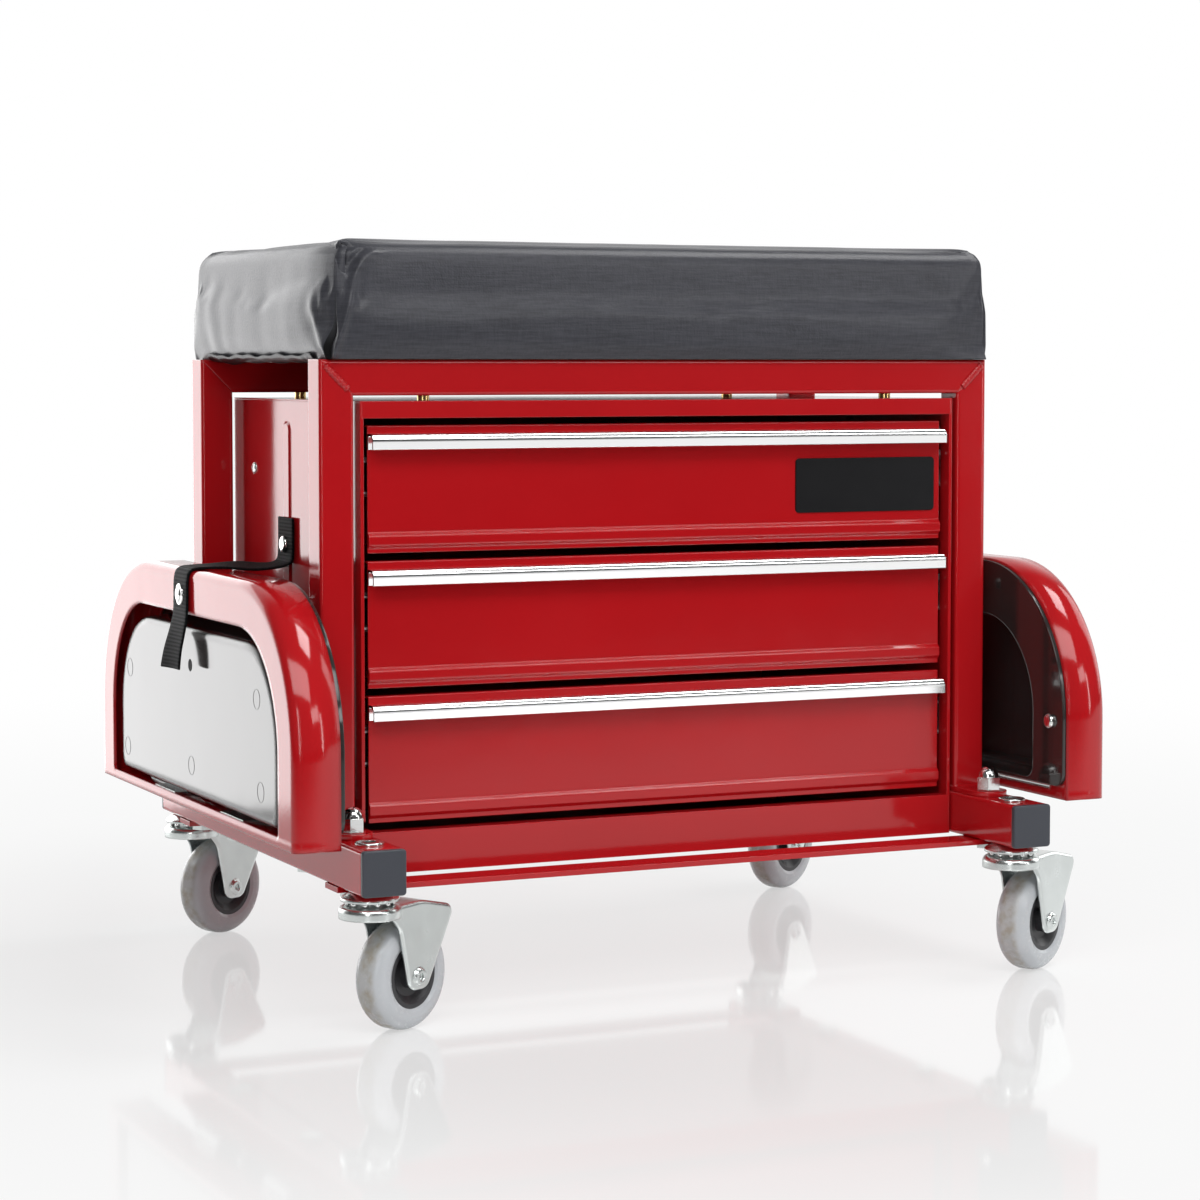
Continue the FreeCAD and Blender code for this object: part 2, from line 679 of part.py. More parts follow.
def tray_insert():
    """Moulded insert: a flange that lies on the frame's return and a drafted tub."""
    rim_x = tray_inner - INSERT_RIM
    low = tray_bottom + INSERT_RISE
    tub_x = tray_outer - INSERT_RECESS
    corner = 3 * INSERT_RIM
    rim = arch_solid(INSERT_TRIM, rim_x, tray_inner, low, corner)

    def tub(inset, x0, x1, foot):
        wires = [arch(inset, x0, foot, corner), arch(inset + INSERT_DRAFT, x1, foot, corner)]
        return Part.makeLoft(wires, True, True)

    wall = INSERT_SHEET
    outside = tub(INSERT_FLANGE - wall, rim_x, tub_x, low)
    inside = tub(INSERT_FLANGE, rim_x - OVERCUT, tub_x - wall, low + wall)
    outside = outside.makeFillet(INSERT_SHEET * 1.5, outer_edges(outside, tub_x))
    insert = rim.fuse(outside).removeSplitter().cut(inside)
    for x, y, z in tray_screws():
        insert = insert.cut(drill(SCREW_DIAMETER, V(x, y, z), INSERT_RIM, V(1, 0, 0)))
    return insert


def tray_screw(x, y, z):
    """Pan-head screw through the insert's flange into the frame's return."""
    head = rod(TRAY_SCREW_HEAD, V(x - TRAY_SCREW_HEAD / 3, y, z), TRAY_SCREW_HEAD / 3, V(1, 0, 0))
    rim = [e for e in head.Edges if e.BoundBox.XMax < x - TRAY_SCREW_HEAD / 3 + 1e-6]
    head = head.makeFillet(TRAY_SCREW_HEAD / 4, rim)
    shank = rod(SCREW_DIAMETER - 2 * HOLE_CLEARANCE, V(x, y, z), INSERT_RIM + 2 * TRAY_SHEET, V(1, 0, 0))
    return head.fuse(shank).removeSplitter()


def snap_stud():
    """Lower half of the snap, fixed on the tray's outer face."""
    return rod(SNAP_DIAMETER * 0.7, V(tray_outer, STRAP_Y, tray_top - SNAP_DROP), STUD_HEIGHT, V(1, 0, 0))


def knuckles(y, count_from):
    """Every other fifth of the hinge's length, as knuckles round the pin."""
    length = HINGE_LENGTH / KNUCKLES
    first = y - HINGE_LENGTH / 2 + HOLE_CLEARANCE
    starts = [first + k * length for k in range(count_from, KNUCKLES, 2)]
    short = length - 2 * HOLE_CLEARANCE
    return [rod(HINGE_KNUCKLE, V(hinge_x, start, hinge_z), short, V(0, 1, 0)) for start in starts]


def pin_hole(y, clearance):
    return rod(HINGE_PIN + 2 * clearance, V(hinge_x, y - HINGE_LENGTH, hinge_z), 2 * HINGE_LENGTH, V(0, 1, 0))


def rail_leaf(y):
    """Hinge leaf on the rail: a plate under the hinge bolt's nut, with two knuckles."""
    x0 = rail_outer - HINGE_LEAF_REACH
    x1 = rail_outer + HINGE_LEAF
    half = HINGE_LENGTH / 2
    leaf = box(x0, x1, y - half, y + half, rail_top, rail_top + HINGE_LEAF)
    for knuckle in knuckles(y, 1):
        bounds = knuckle.BoundBox
        tongue = box(rail_outer, hinge_x, bounds.YMin, bounds.YMax, rail_top, rail_top + HINGE_LEAF)
        leaf = leaf.fuse([knuckle, tongue])
    leaf = leaf.removeSplitter().cut(pin_hole(y, RUNNING_CLEARANCE / 2))
    return leaf.cut(drill(BOLT_DIAMETER, V(post_x, y, rail_top), HINGE_LEAF))


def tray_leaf(y):
    """Hinge leaf on the tray's foot bar, with three knuckles."""
    z0 = tray_bottom + TRAY_BAR
    half = HINGE_LENGTH / 2
    leaf = box(tray_inner, tray_inner + HINGE_LEAF_REACH - TRAY_EDGE, y - half, y + half, z0, z0 + HINGE_LEAF)
    for knuckle in knuckles(y, 0):
        bounds = knuckle.BoundBox
        tongue = box(hinge_x, tray_inner, bounds.YMin, bounds.YMax, z0, z0 + HINGE_LEAF)
        leaf = leaf.fuse([knuckle, tongue])
    return leaf.removeSplitter().cut(pin_hole(y, RUNNING_CLEARANCE))


def hinge_pin(y):
    half = HINGE_LENGTH / 2 + HINGE_PIN / 4
    return rod(HINGE_PIN, V(hinge_x, y - half, hinge_z), 2 * half, V(0, 1, 0))


def strap():
    """Webbing from the chest's wall, over the tray's top and down its outer face."""
    half = STRAP_THICK / 2
    wall = chest_half + SIDE_BEAD_RISE + half
    over = tray_top + SOFT_CLEARANCE + half
    face = tray_outer + STUD_HEIGHT + SOFT_CLEARANCE + half
    line = [V(wall, 0, over + STRAP_RISE), V(wall, 0, over), V(face, 0, over),
            V(face, 0, tray_top - 2 * SNAP_DROP), V(face + STRAP_CURL, 0, tray_top - STRAP_TAIL)]
    outline, radii = ribbon(line, [0, STRAP_BEND, STRAP_BEND, 4 * STRAP_BEND, 0], STRAP_THICK)
    return slab(outline, radii, V(0, STRAP_WIDTH, 0)).translated(V(0, STRAP_Y - STRAP_WIDTH / 2, 0))


def domed_button(diameter, height, start, direction):
    """Low domed disc, as on a snap cap or a rivet head."""
    disc = rod(diameter, start, height, direction)
    tip = start + direction * height
    rim = [e for e in disc.Edges if (e.CenterOfMass - tip).Length < 1e-6]
    return disc.makeFillet(height * 0.7, rim)


def snap_cap():
    face = tray_outer + STUD_HEIGHT + SOFT_CLEARANCE + STRAP_THICK
    return domed_button(SNAP_DIAMETER, SNAP_HEIGHT, V(face, STRAP_Y, tray_top - SNAP_DROP), V(1, 0, 0))


def strap_rivet():
    x = chest_half + SIDE_BEAD_RISE + STRAP_THICK
    z = tray_top + STRAP_RISE * 0.48
    return domed_button(STRAP_RIVET, SNAP_HEIGHT, V(x, STRAP_Y, z), V(1, 0, 0))


def kingpin():
    """Hollow rivet through rail, cups and fork: a flange on top and a peened end below."""
    r = KINGPIN_DIAMETER / 2
    brim = KINGPIN_FLANGE / 2
    peen = KINGPIN_PEEN / 2
    bore = r - KINGPIN_WALL
    head = rail_top + CUP_SHEET
    shoulder = race_z - CUP_SHEET - HOLE_CLEARANCE
    foot = shoulder - CUP_SHEET
    profile = [(bore, foot), (peen, foot), (peen, shoulder), (r, shoulder),
               (r, rail_top), (brim, rail_top), (brim, head), (bore, head)]
    return lathe(profile, [0, 0, 0, 0, 0, 0, CUP_SHEET * 0.6, 0])


def upper_cup():
    """Dished pressing under the rail, over the balls."""
    t = CUP_SHEET
    bore = KINGPIN_DIAMETER / 2 + HOLE_CLEARANCE
    low = rail_bottom - CUP_DEPTH
    profile = [(bore, rail_bottom), (CUP_FLAT, rail_bottom), (CUP_RADIUS, low + t), (CUP_RADIUS, low),
               (CUP_RADIUS - t, low), (CUP_FLAT - t / 2, rail_bottom - t), (bore, rail_bottom - t)]
    return lathe(profile, [0, 2 * t, t / 2, 0, 0, t, 0])


def balls():
    """Ring of balls on the race."""
    z = race_z + BALL_DIAMETER / 2
    turns = [2 * math.pi * k / BALL_COUNT for k in range(BALL_COUNT)]
    places = [V(BALL_RING * math.cos(a), BALL_RING * math.sin(a), z) for a in turns]
    return [Part.makeSphere(BALL_DIAMETER / 2, place) for place in places]


def fork():
    """Lower cup with a fender-shaped fork behind it. The wheel trails along local X."""
    t = CUP_SHEET
    foot = race_z - LOWER_CUP_DEPTH
    bore = KINGPIN_DIAMETER / 2 + RUNNING_CLEARANCE
    wall = LOWER_CUP_BRIM - t
    cup = lathe([(bore, race_z), (LOWER_CUP_BRIM, race_z), (LOWER_CUP_BRIM, foot), (wall, foot),
                 (wall, race_z - t), (bore, race_z - t)], [0, 2 * t, 0, 0, t, 0])
    inner = WHEEL_WIDTH / 2 + FORK_SIDE_GAP
    outer = inner + FORK_SHEET
    end = FORK_WAIST / 2
    crest = race_z - FORK_SHEET / 2
    peak = crest + FORK_SHEET / 2
    tail = race_z - FORK_TAIL_DROP
    root = KINGPIN_DIAMETER / 3
    crest_x = CASTER_TRAIL + FORK_CREST
    heel = axle_z - end
    outline = [(root, foot), (root, crest), (crest_x, peak), (FORK_REACH, tail), (CASTER_TRAIL + end, heel),
               (CASTER_TRAIL - end, heel), (CASTER_TRAIL - FORK_WAIST, foot - end)]
    radii = [0, 0, FORK_CREST_ROUND, FORK_TAIL_ROUND, end, end, FORK_THROAT]
    skin = slab([V(x, -outer, z) for x, z in outline], radii, V(0, 2 * outer, 0))
    flanks = [e for e in skin.Edges if abs(abs(e.CenterOfMass.y) - outer) < 1e-6]
    crown = [e for e in flanks if e.BoundBox.ZMax > tail and e.BoundBox.XMax > root + FORK_SHEET]
    skin = skin.makeFillet(FORK_BEND, crown)
    back = FORK_REACH + WHEEL_WIDTH
    under = [(-FORK_REACH, 0), (-FORK_REACH, crest - FORK_SHEET), (root, crest - FORK_SHEET),
             (crest_x, peak - FORK_SHEET), (FORK_REACH, tail - FORK_SHEET),
             (back, tail - FORK_WAIST), (back, 0)]
    room = slab([V(x, -inner, z) for x, z in under], [0] * len(under), V(0, 2 * inner, 0))
    hole = drill(AXLE_DIAMETER, V(CASTER_TRAIL, -outer, axle_z), 2 * outer, V(0, 1, 0))
    clear = rod(KINGPIN_PEEN + FORK_SHEET, V(0, 0, 0), race_z - t)
    stem = rod(2 * bore, V(0, 0, 0), rail_top)
    return cup.fuse(skin.cut(room).cut(hole).cut(clear)).removeSplitter().cut(stem)


def axle():
    """Tubular rivet across the fork, with a rolled head on each side."""
    outer = WHEEL_WIDTH / 2 + FORK_SIDE_GAP + FORK_SHEET
    shank = rod(AXLE_DIAMETER, V(CASTER_TRAIL, -outer, axle_z), 2 * outer, V(0, 1, 0))
    ends = [(V(CASTER_TRAIL, side * outer, axle_z), V(0, side, 0)) for side in (-1, 1)]
    heads = [domed_button(AXLE_HEAD, AXLE_HEAD_HEIGHT, place, way) for place, way in ends]
    rivet = shank.fuse(heads).removeSplitter()
    for place, way in ends:
        mouth = place + way * (AXLE_HEAD_HEIGHT - AXLE_WELL_DEPTH)
        rivet = rivet.cut(rod(AXLE_WELL, mouth, AXLE_WELL_DEPTH + OVERCUT, way))
    return rivet


def wheel_part(profile, radii):
    """Turned part on the axle's line."""
    part = lathe(profile, radii)
    part.rotate(V(0, 0, 0), V(1, 0, 0), 90)
    return part.translated(V(CASTER_TRAIL, 0, axle_z))


def hub():
    """Hub with a dished web and a boss that runs on the axle."""
    bore = AXLE_DIAMETER / 2 + RUNNING_CLEARANCE
    boss = HUB_BOSS / 2
    rim = HUB_DIAMETER / 2
    lip = rim - HUB_RIM
    side = WHEEL_WIDTH / 2 - TYRE_STEP
    web = WHEEL_WIDTH / 2 - HUB_DISH
    end = WHEEL_WIDTH / 2 + FORK_SIDE_GAP - SLIDE_CLEARANCE
    half = [(bore, end), (boss, end), (boss, web), (HUB_WELL / 2, web), (lip, side), (rim, side)]
    profile = [(r, -z) for r, z in half] + half[::-1]
    return wheel_part(profile, [0] * len(profile))


def tyre():
    """Grey tread with rounded shoulders."""
    half = WHEEL_WIDTH / 2
    rim = HUB_DIAMETER / 2
    tread = WHEEL_DIAMETER / 2
    side = half - TYRE_STEP
    bead = rim + 2 * TYRE_STEP
    profile = [(rim, -side), (bead, -half), (tread, -half), (tread, half), (bead, half), (rim, side)]
    shoulder = (tread - rim) * 0.62
    return wheel_part(profile, [0, TYRE_STEP, shoulder, shoulder, TYRE_STEP, 0])


def placed(shape, side, end):
    """A caster piece turned to its heading and moved to its stem."""
    shape = shape.copy()
    shape.rotate(V(0, 0, 0), V(0, 0, 1), CASTER_HEADING)
    return shape.translated(V(SIDES[side] * post_x, stem_y[end], 0))


CORNERS = [(end, side) for end in ("front", "back") for side in SIDES]

# Frame
for side in SIDES:
    save("base_rail_" + side, on_side(base_rail(), side))
save("rail_end_plugs", *[on_side(end_plug(end), side) for end, side in CORNERS])
for end, side in CORNERS:
    save("post_" + end + "_" + side, on_side(post(end), side))
for end in stem_y:
    save("top_rail_" + end, top_rail(end))
save("cross_bars", cross_bar("front"), cross_bar("back"))
bolts = []
nuts = []
for side in SIDES.values():
    for end in bolt_y:
        bolts.append(bolt(side * post_x, bolt_y[end], rail_bottom - BAR_THICK, foot_top))
        nuts.append(acorn_nut(side * post_x, bolt_y[end], foot_top))
    for y in hinge_y:
        bolts.append(bolt(side * post_x, y, rail_bottom, rail_top + HINGE_LEAF))
        nuts.append(acorn_nut(side * post_x, y, rail_top + HINGE_LEAF))
save("frame_bolts", *bolts)
save("acorn_nuts", *nuts)

# Chest and drawers
for side in SIDES:
    save("chest_side_" + side, on_side(chest_side(), side))
save("chest_back", chest_back_panel())
save("chest_top", chest_top_panel())
save("chest_bottom", chest_bottom_panel())
save("chest_screws", *[long_screw(x, y) for x, y in screw_places()])
save("drawer_slides", *[on_side(slide(i), side) for i in range(len(DRAWERS)) for side in SIDES])
for i, name in enumerate(DRAWERS):
    save(name, drawer(i))
    save(name + "_pull", pull(i))
    save(name + "_runners", *[on_side(runner(i), side) for side in SIDES])

# Seat
save("seat_board", seat_board())
save("seat_cushion", seat_cushion())

# Side trays with their hinges and straps
frame = tray_frame()
insert = tray_insert()
for side in SIDES:
    save("tray_frame_" + side, on_side(frame, side))
    save("tray_insert_" + side, on_side(insert, side))
    save("tray_hinge_leaves_" + side, *[on_side(tray_leaf(y), side) for y in hinge_y])
    fasteners = [tray_screw(*place) for place in tray_screws()] + [snap_stud()]
    save("tray_fasteners_" + side, *[on_side(f, side) for f in fasteners])
    save("strap_" + side, on_side(strap(), side))
save("hinge_rail_leaves", *[on_side(rail_leaf(y), side) for side in SIDES for y in hinge_y])
save("hinge_pins", *[on_side(hinge_pin(y), side) for side in SIDES for y in hinge_y])
save("strap_snaps", *[on_side(snap_cap(), side) for side in SIDES])
save("strap_rivets", *[on_side(strap_rivet(), side) for side in SIDES])

# Casters
save("caster_kingpins", *[placed(kingpin(), side, end) for end, side in CORNERS])
save("caster_upper_cups", *[placed(upper_cup(), side, end) for end, side in CORNERS])
save("caster_balls", *[placed(ball, side, end) for end, side in CORNERS for ball in balls()])
for end, side in CORNERS:
    name = end + "_" + side
    save("caster_fork_" + name, placed(fork(), side, end), placed(axle(), side, end))
    save("caster_hub_" + name, placed(hub(), side, end))
    save("caster_tyre_" + name, placed(tyre(), side, end))
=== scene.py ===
# %% [markdown]
# # Rolling toolbox stool
# A low workshop stool: a red tube frame on casters carries a chest of drawers, a padded seat and
# two folding side trays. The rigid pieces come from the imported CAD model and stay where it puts
# them. This file gives them their finishes, adds the small things that a maker would miss, makes
# the soft pieces, and sets up the studio.

# %% Load the frame
import bpy
import bmesh
import math
import numpy as np
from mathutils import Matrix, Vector


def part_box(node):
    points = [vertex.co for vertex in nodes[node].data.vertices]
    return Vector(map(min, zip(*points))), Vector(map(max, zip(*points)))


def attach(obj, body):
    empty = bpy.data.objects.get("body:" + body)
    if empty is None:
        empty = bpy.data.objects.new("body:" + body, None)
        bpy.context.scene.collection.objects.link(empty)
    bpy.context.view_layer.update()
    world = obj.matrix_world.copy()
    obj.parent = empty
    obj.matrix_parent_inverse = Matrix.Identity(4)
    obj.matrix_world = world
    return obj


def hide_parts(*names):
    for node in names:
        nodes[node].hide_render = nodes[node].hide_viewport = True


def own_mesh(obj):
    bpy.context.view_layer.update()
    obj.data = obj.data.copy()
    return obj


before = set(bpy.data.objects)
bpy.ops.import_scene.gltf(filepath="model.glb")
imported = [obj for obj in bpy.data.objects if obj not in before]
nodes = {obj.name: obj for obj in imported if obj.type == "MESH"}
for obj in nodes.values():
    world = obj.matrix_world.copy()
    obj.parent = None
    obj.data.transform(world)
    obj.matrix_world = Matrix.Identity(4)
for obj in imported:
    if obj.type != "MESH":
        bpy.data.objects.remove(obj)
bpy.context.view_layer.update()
MM = 0.001
SIDES = {"left": -1, "right": 1}

# %% [markdown]
# ## A short way to write node trees
# Materials and geometry trees are long to write node by node. One class wraps an output socket, so
# that sums on it add Math nodes, and one method adds any other node: its type, its settings, which
# are set first, and then the values or links of its sockets.


# %% Node tree helpers
class Value:
    """An output socket that can be used in sums."""

    def __init__(self, tree, socket):
        self.tree = tree
        self.socket = socket

    def math(self, operation, *others):
        sockets = dict(enumerate((self, *others)))
        return self.tree.add("ShaderNodeMath", {"operation": operation}, sockets)

    def __add__(self, other):
        return self.math("ADD", other)

    def __sub__(self, other):
        return self.math("SUBTRACT", other)

    def __mul__(self, other):
        return self.math("MULTIPLY", other)

    def __truediv__(self, other):
        return self.math("DIVIDE", other)

    def __rsub__(self, other):
        return self.tree.add("ShaderNodeMath", {"operation": "SUBTRACT"}, {0: other, 1: self})

    __radd__ = __add__
    __rmul__ = __mul__

    def clamp(self):
        return self.math("MAXIMUM", 0.0).math("MINIMUM", 1.0)

    def step(self, low, high):
        """0 below low, 1 above high, and smooth between them."""
        settings = {"interpolation_type": "SMOOTHSTEP"}
        sockets = {"Value": self, "From Min": low, "From Max": high}
        return self.tree.add("ShaderNodeMapRange", settings, sockets)


class Tree:
    """A node tree that is filled from Python."""

    def __init__(self, tree):
        self.tree = tree

    def add(self, kind, settings, sockets, output=0):
        node = self.tree.nodes.new(kind)
        for name, value in settings.items():
            setattr(node, name, value)
        for name, value in sockets.items():
            socket = node.inputs[name]
            if isinstance(value, Value):
                self.tree.links.new(value.socket, socket)
            elif value is not None:
                socket.default_value = value
        return Value(self, node.outputs[output]) if len(node.outputs) else node

    def vector(self, operation, first, second=None):
        """Vector Math: a vector, or a number where the operation gives one."""
        output = "Value" if operation in ("DOT_PRODUCT", "LENGTH") else "Vector"
        return self.add("ShaderNodeVectorMath", {"operation": operation}, {0: first, 1: second}, output)

    def part(self, vector, axis):
        """X, Y or Z of a vector."""
        return self.add("ShaderNodeSeparateXYZ", {}, {"Vector": vector}, axis)

    def ray(self, *kinds):
        """1 for rays of the kinds that are named."""
        first, *others = [self.add("ShaderNodeLightPath", {}, {}, "Is %s Ray" % kind) for kind in kinds]
        return sum(others, first).clamp()


# %% [markdown]
# ## Finishes
# Every finish is procedural and reads Object coordinates, in metres, so a grain of half a
# millimetre is a texture scale of about 2000. The colour differs a little over a panel, the gloss
# a little more, and a bump too small to see as a shape breaks up the highlights.


# %% Finish helpers
class Finish(Tree):
    """A material with one main shader."""

    def __init__(self, name):
        self.material = bpy.data.materials.new(name)
        self.material.use_nodes = True
        super().__init__(self.material.node_tree)
        self.tree.nodes.clear()
        self.place = self.add("ShaderNodeTexCoord", {}, {}, "Object")

    def along(self, scale):
        """Object coordinates, stretched by axis."""
        return self.add("ShaderNodeMapping", {}, {"Vector": self.place, "Scale": scale})

    def noise(self, scale, detail=2.0, where=None, rough=0.5):
        sockets = {"Vector": where or self.place, "Scale": scale, "Detail": detail, "Roughness": rough}
        return self.add("ShaderNodeTexNoise", {}, sockets, "Fac")

    def cells(self, scale, feature="F1", output="Distance"):
        sockets = {"Vector": self.place, "Scale": scale}
        return self.add("ShaderNodeTexVoronoi", {"feature": feature}, sockets, output)

    def mix(self, share, first, second):
        """Colour between two colours."""
        first, second = [c if isinstance(c, Value) else (*c, 1.0) for c in (first, second)]
        return self.add("ShaderNodeMix", {"data_type": "RGBA"}, {0: share, 6: first, 7: second}, 2)

    def bump(self, height, distance, strength=1.0, below=None):
        sockets = {"Height": height, "Distance": distance, "Strength": strength, "Normal": below}
        return self.add("ShaderNodeBump", {}, sockets)

    def rounded(self, radius):
        """Normals as if sharp edges had this radius."""
        return self.add("ShaderNodeBevel", {"samples": 8}, {"Radius": radius})

    def done(self, colour, gloss, normal, **others):
        """Close the tree with one Principled shader; a socket's spaces are written as underscores."""
        sockets = {"Base Color": colour, "Roughness": gloss, "Normal": normal}
        sockets.update((name.replace("_", " "), value) for name, value in others.items())
        shader = self.add("ShaderNodeBsdfPrincipled", {}, sockets)
        self.add("ShaderNodeOutputMaterial", {}, {"Surface": shader})
        print("finish", self.material.name, len(self.tree.nodes), "nodes")
        return self.material


# %% [markdown]
# ### Red powder coat
# Sprayed and baked powder: a strong red under a glossy skin with a faint orange peel. Sharp CAD
# edges are rounded in the shading, because paint draws a soft line of light along each edge.


# %% Red powder coat
BAND_MIDDLE = 241.0 * MM
BAND_ROLL = 45.0


def rolled_band(f, normal):
    """Lean the normals of a tray's band outwards and inwards, as on a pressed and rounded band."""
    across = f.part(f.place, "X")
    side_on = f.part(f.add("ShaderNodeTexCoord", {}, {}, "Normal"), "X").math("ABSOLUTE")
    lean = (across.math("ABSOLUTE") - BAND_MIDDLE) * BAND_ROLL * (1.0 - side_on).clamp()
    lean = f.add("ShaderNodeCombineXYZ", {}, {0: lean * across.math("SIGN")})
    turn = {"vector_type": "VECTOR", "convert_from": "OBJECT", "convert_to": "WORLD"}
    lean = f.add("ShaderNodeVectorTransform", turn, {"Vector": lean})
    return f.vector("NORMALIZE", f.vector("ADD", normal, lean))


def red_powder_coat(edge, band=False):
    f = Finish("red_powder_coat_%d" % round(edge / MM * 10))
    cloud = f.noise(9.0, 3.0)
    wave = f.noise(38.0, 1.0)
    peel = f.noise(420.0, 1.0)
    colour = f.mix(cloud, (0.40, 0.0065, 0.0095), (0.47, 0.0085, 0.0120))
    gloss = f.noise(34.0, 4.0) * 0.06 + 0.075
    normal = rolled_band(f, f.rounded(edge)) if band else f.rounded(edge)
    soft = f.bump(wave, 0.00035, 0.30, normal)
    return f.done(colour, gloss, f.bump(peel, 0.00003, 0.45, soft))


tube_red = red_powder_coat(1.3 * MM)
sheet_red = red_powder_coat(0.6 * MM)
tray_red = red_powder_coat(3.5 * MM, band=True)


# %% [markdown]
# ### Bare and plated metals
# Bright zinc on the casters is pale, faintly blue and cloudy. Nickel on nuts and snaps is a clean
# mirror. The aluminium pulls are drawn strip, so their fine lines run along the strip.


# %% Plated metals
ZINC_PALE, ZINC_DEEP = (0.74, 0.78, 0.77), (0.58, 0.61, 0.60)
PULL_TIP = (0, 0, -0.22)


def plated(name, pale, deep, rough, cloud_scale, edge=0.35 * MM):
    f = Finish(name)
    cloud = f.noise(cloud_scale, 4.0)
    fine = f.noise(900.0, 2.0)
    colour = f.mix(cloud, deep, pale)
    gloss = cloud * 0.10 + fine * 0.06 + rough
    normal = f.bump(fine, 0.00002, 0.6, f.rounded(edge))
    return f.done(colour, gloss, normal, Metallic=1.0)


zinc_plate = plated("zinc_plate", ZINC_PALE, ZINC_DEEP, 0.17, 60.0)
fork_zinc = plated("fork_zinc", ZINC_PALE, ZINC_DEEP, 0.17, 60.0, 1.8 * MM)
bright_nickel = plated("bright_nickel", (0.82, 0.82, 0.81), (0.72, 0.73, 0.73), 0.02, 120.0)
yellow_zinc = plated("yellow_zinc", (0.80, 0.60, 0.26), (0.62, 0.42, 0.18), 0.16, 150.0)


def drawn_aluminium():
    """The strip's face rolls slightly downwards, which only its normals show."""
    f = Finish("drawn_aluminium")
    lines = f.noise(1.0, 3.0, f.along((3.0, 2600.0, 2600.0)))
    cloud = f.noise(14.0, 2.0)
    colour = f.mix(cloud, (0.90, 0.905, 0.91), (0.955, 0.955, 0.955))
    gloss = lines * 0.10 + 0.12
    rolled = f.vector("NORMALIZE", f.vector("ADD", f.rounded(0.3 * MM), PULL_TIP))
    normal = f.bump(lines, 0.00002, 0.3, rolled)
    return f.done(colour, gloss, normal, Metallic=1.0)


pull_aluminium = drawn_aluminium()


def galvanised_sheet():
    f = Finish("galvanised_sheet")
    spangle = f.cells(170.0, output="Color")
    tone = f.add("ShaderNodeSeparateColor", {}, {"Color": spangle})
    colour = f.mix(tone, (0.46, 0.47, 0.48), (0.63, 0.64, 0.65))
    gloss = tone * 0.18 + 0.28
    normal = f.bump(f.noise(700.0), 0.00003, 0.5)
    return f.done(colour, gloss, normal, Metallic=1.0)


slide_steel = galvanised_sheet()


# %% [markdown]
# ### Plastics and rubber
# The tray inserts are glossy mouldings, flat enough to mirror the room with a slight wave. The
# hubs, plugs and the bare plate are duller. The tyres are grey rubber, rubbed where they roll.


# %% Plastics and rubber
INSERT_FACE = (238 * MM, 243 * MM)
AXLE = (-0.469, 0.883, 0.0)


def glossy_moulding():
    """The outer face of an insert, far from the middle of the stool, has the rounder edges."""
    f = Finish("glossy_black_moulding")
    wave = f.noise(16.0, 1.0)
    dust = f.noise(1500.0, 2.0).step(0.62, 0.78)
    gloss = f.noise(40.0, 3.0) * 0.08 + dust * 0.10 + 0.055
    colour = f.mix(dust, (0.027, 0.0225, 0.0215), (0.036, 0.0310, 0.0300))
    outer = f.part(f.place, "X").math("ABSOLUTE").step(*INSERT_FACE)
    edges = {0: outer, 4: f.rounded(1.0 * MM), 5: f.rounded(5.5 * MM)}
    soft = f.add("ShaderNodeMix", {"data_type": "VECTOR"}, edges, 1)
    normal = f.bump(wave, 0.00035, 0.35, soft)
    return f.done(colour, gloss, normal, Specular_IOR_Level=0.6)


def dull_moulding(name, dark, light, rough, grain, shine=0.5):
    f = Finish(name)
    speck = f.noise(grain, 3.0)
    colour = f.mix(f.noise(30.0, 2.0), dark, light)
    normal = f.bump(speck, 0.00008, 0.5, f.rounded(0.6 * MM))
    return f.done(colour, speck * 0.16 + rough, normal, Specular_IOR_Level=shine)


def grey_tread():
    """The rolling band, whose normals stand square to the axle, is dusty and brown."""
    f = Finish("grey_tread")
    facing = f.add("ShaderNodeTexCoord", {}, {}, "Normal")
    flank = f.vector("DOT_PRODUCT", facing, AXLE).math("ABSOLUTE")
    band = 1.0 - flank.step(0.15, 0.60)
    streak = f.noise(45.0, 5.0)
    scuff = f.noise(380.0, 4.0).step(0.56, 0.72)
    dust = f.noise(160.0, 5.0).step(0.38, 0.70)
    grey = f.mix(streak, (0.44, 0.465, 0.49), (0.54, 0.56, 0.58))
    grey = f.mix(band * (dust * 0.6 + 0.25), grey, (0.36, 0.325, 0.26))
    colour = f.mix(scuff * 0.30, grey, (0.33, 0.32, 0.30))
    gloss = streak * 0.10 + scuff * 0.14 + 0.20
    return f.done(colour, gloss, f.bump(f.noise(900.0), 0.00004, 0.5))


tray_moulding = glossy_moulding()
plug_moulding = dull_moulding(
    "slate_plug_moulding", (0.036, 0.040, 0.052), (0.047, 0.052, 0.065), 0.36, 1400.0)
hub_moulding = dull_moulding(
    "charcoal_hub_moulding", (0.024, 0.024, 0.027), (0.034, 0.034, 0.037), 0.34, 1200.0)
plate_black = dull_moulding(
    "bare_plate_black", (0.007, 0.007, 0.008), (0.011, 0.011, 0.012), 0.22, 2200.0, 0.14)
tyre_grey = grey_tread()


# %% [markdown]
# ### Seat board
# Bare plywood, seen only from below: long grain along the width of the seat.


# %% Plywood
def bare_plywood():
    f = Finish("bare_plywood")
    warp = f.noise(7.0, 3.0)
    grain = f.noise(1.0, 5.0, f.along((9.0, 150.0, 150.0))) + warp * 0.5
    pore = f.noise(1.0, 2.0, f.along((60.0, 1800.0, 1800.0))).step(0.6, 0.72)
    wood = f.mix(grain.step(0.4, 1.1), (0.58, 0.43, 0.26), (0.40, 0.26, 0.13))
    colour = f.mix(pore * 0.5, wood, (0.22, 0.13, 0.06))
    return f.done(colour, grain * 0.1 + 0.55, f.bump(grain - pore, 0.0001, 0.5))


seat_plywood = bare_plywood()


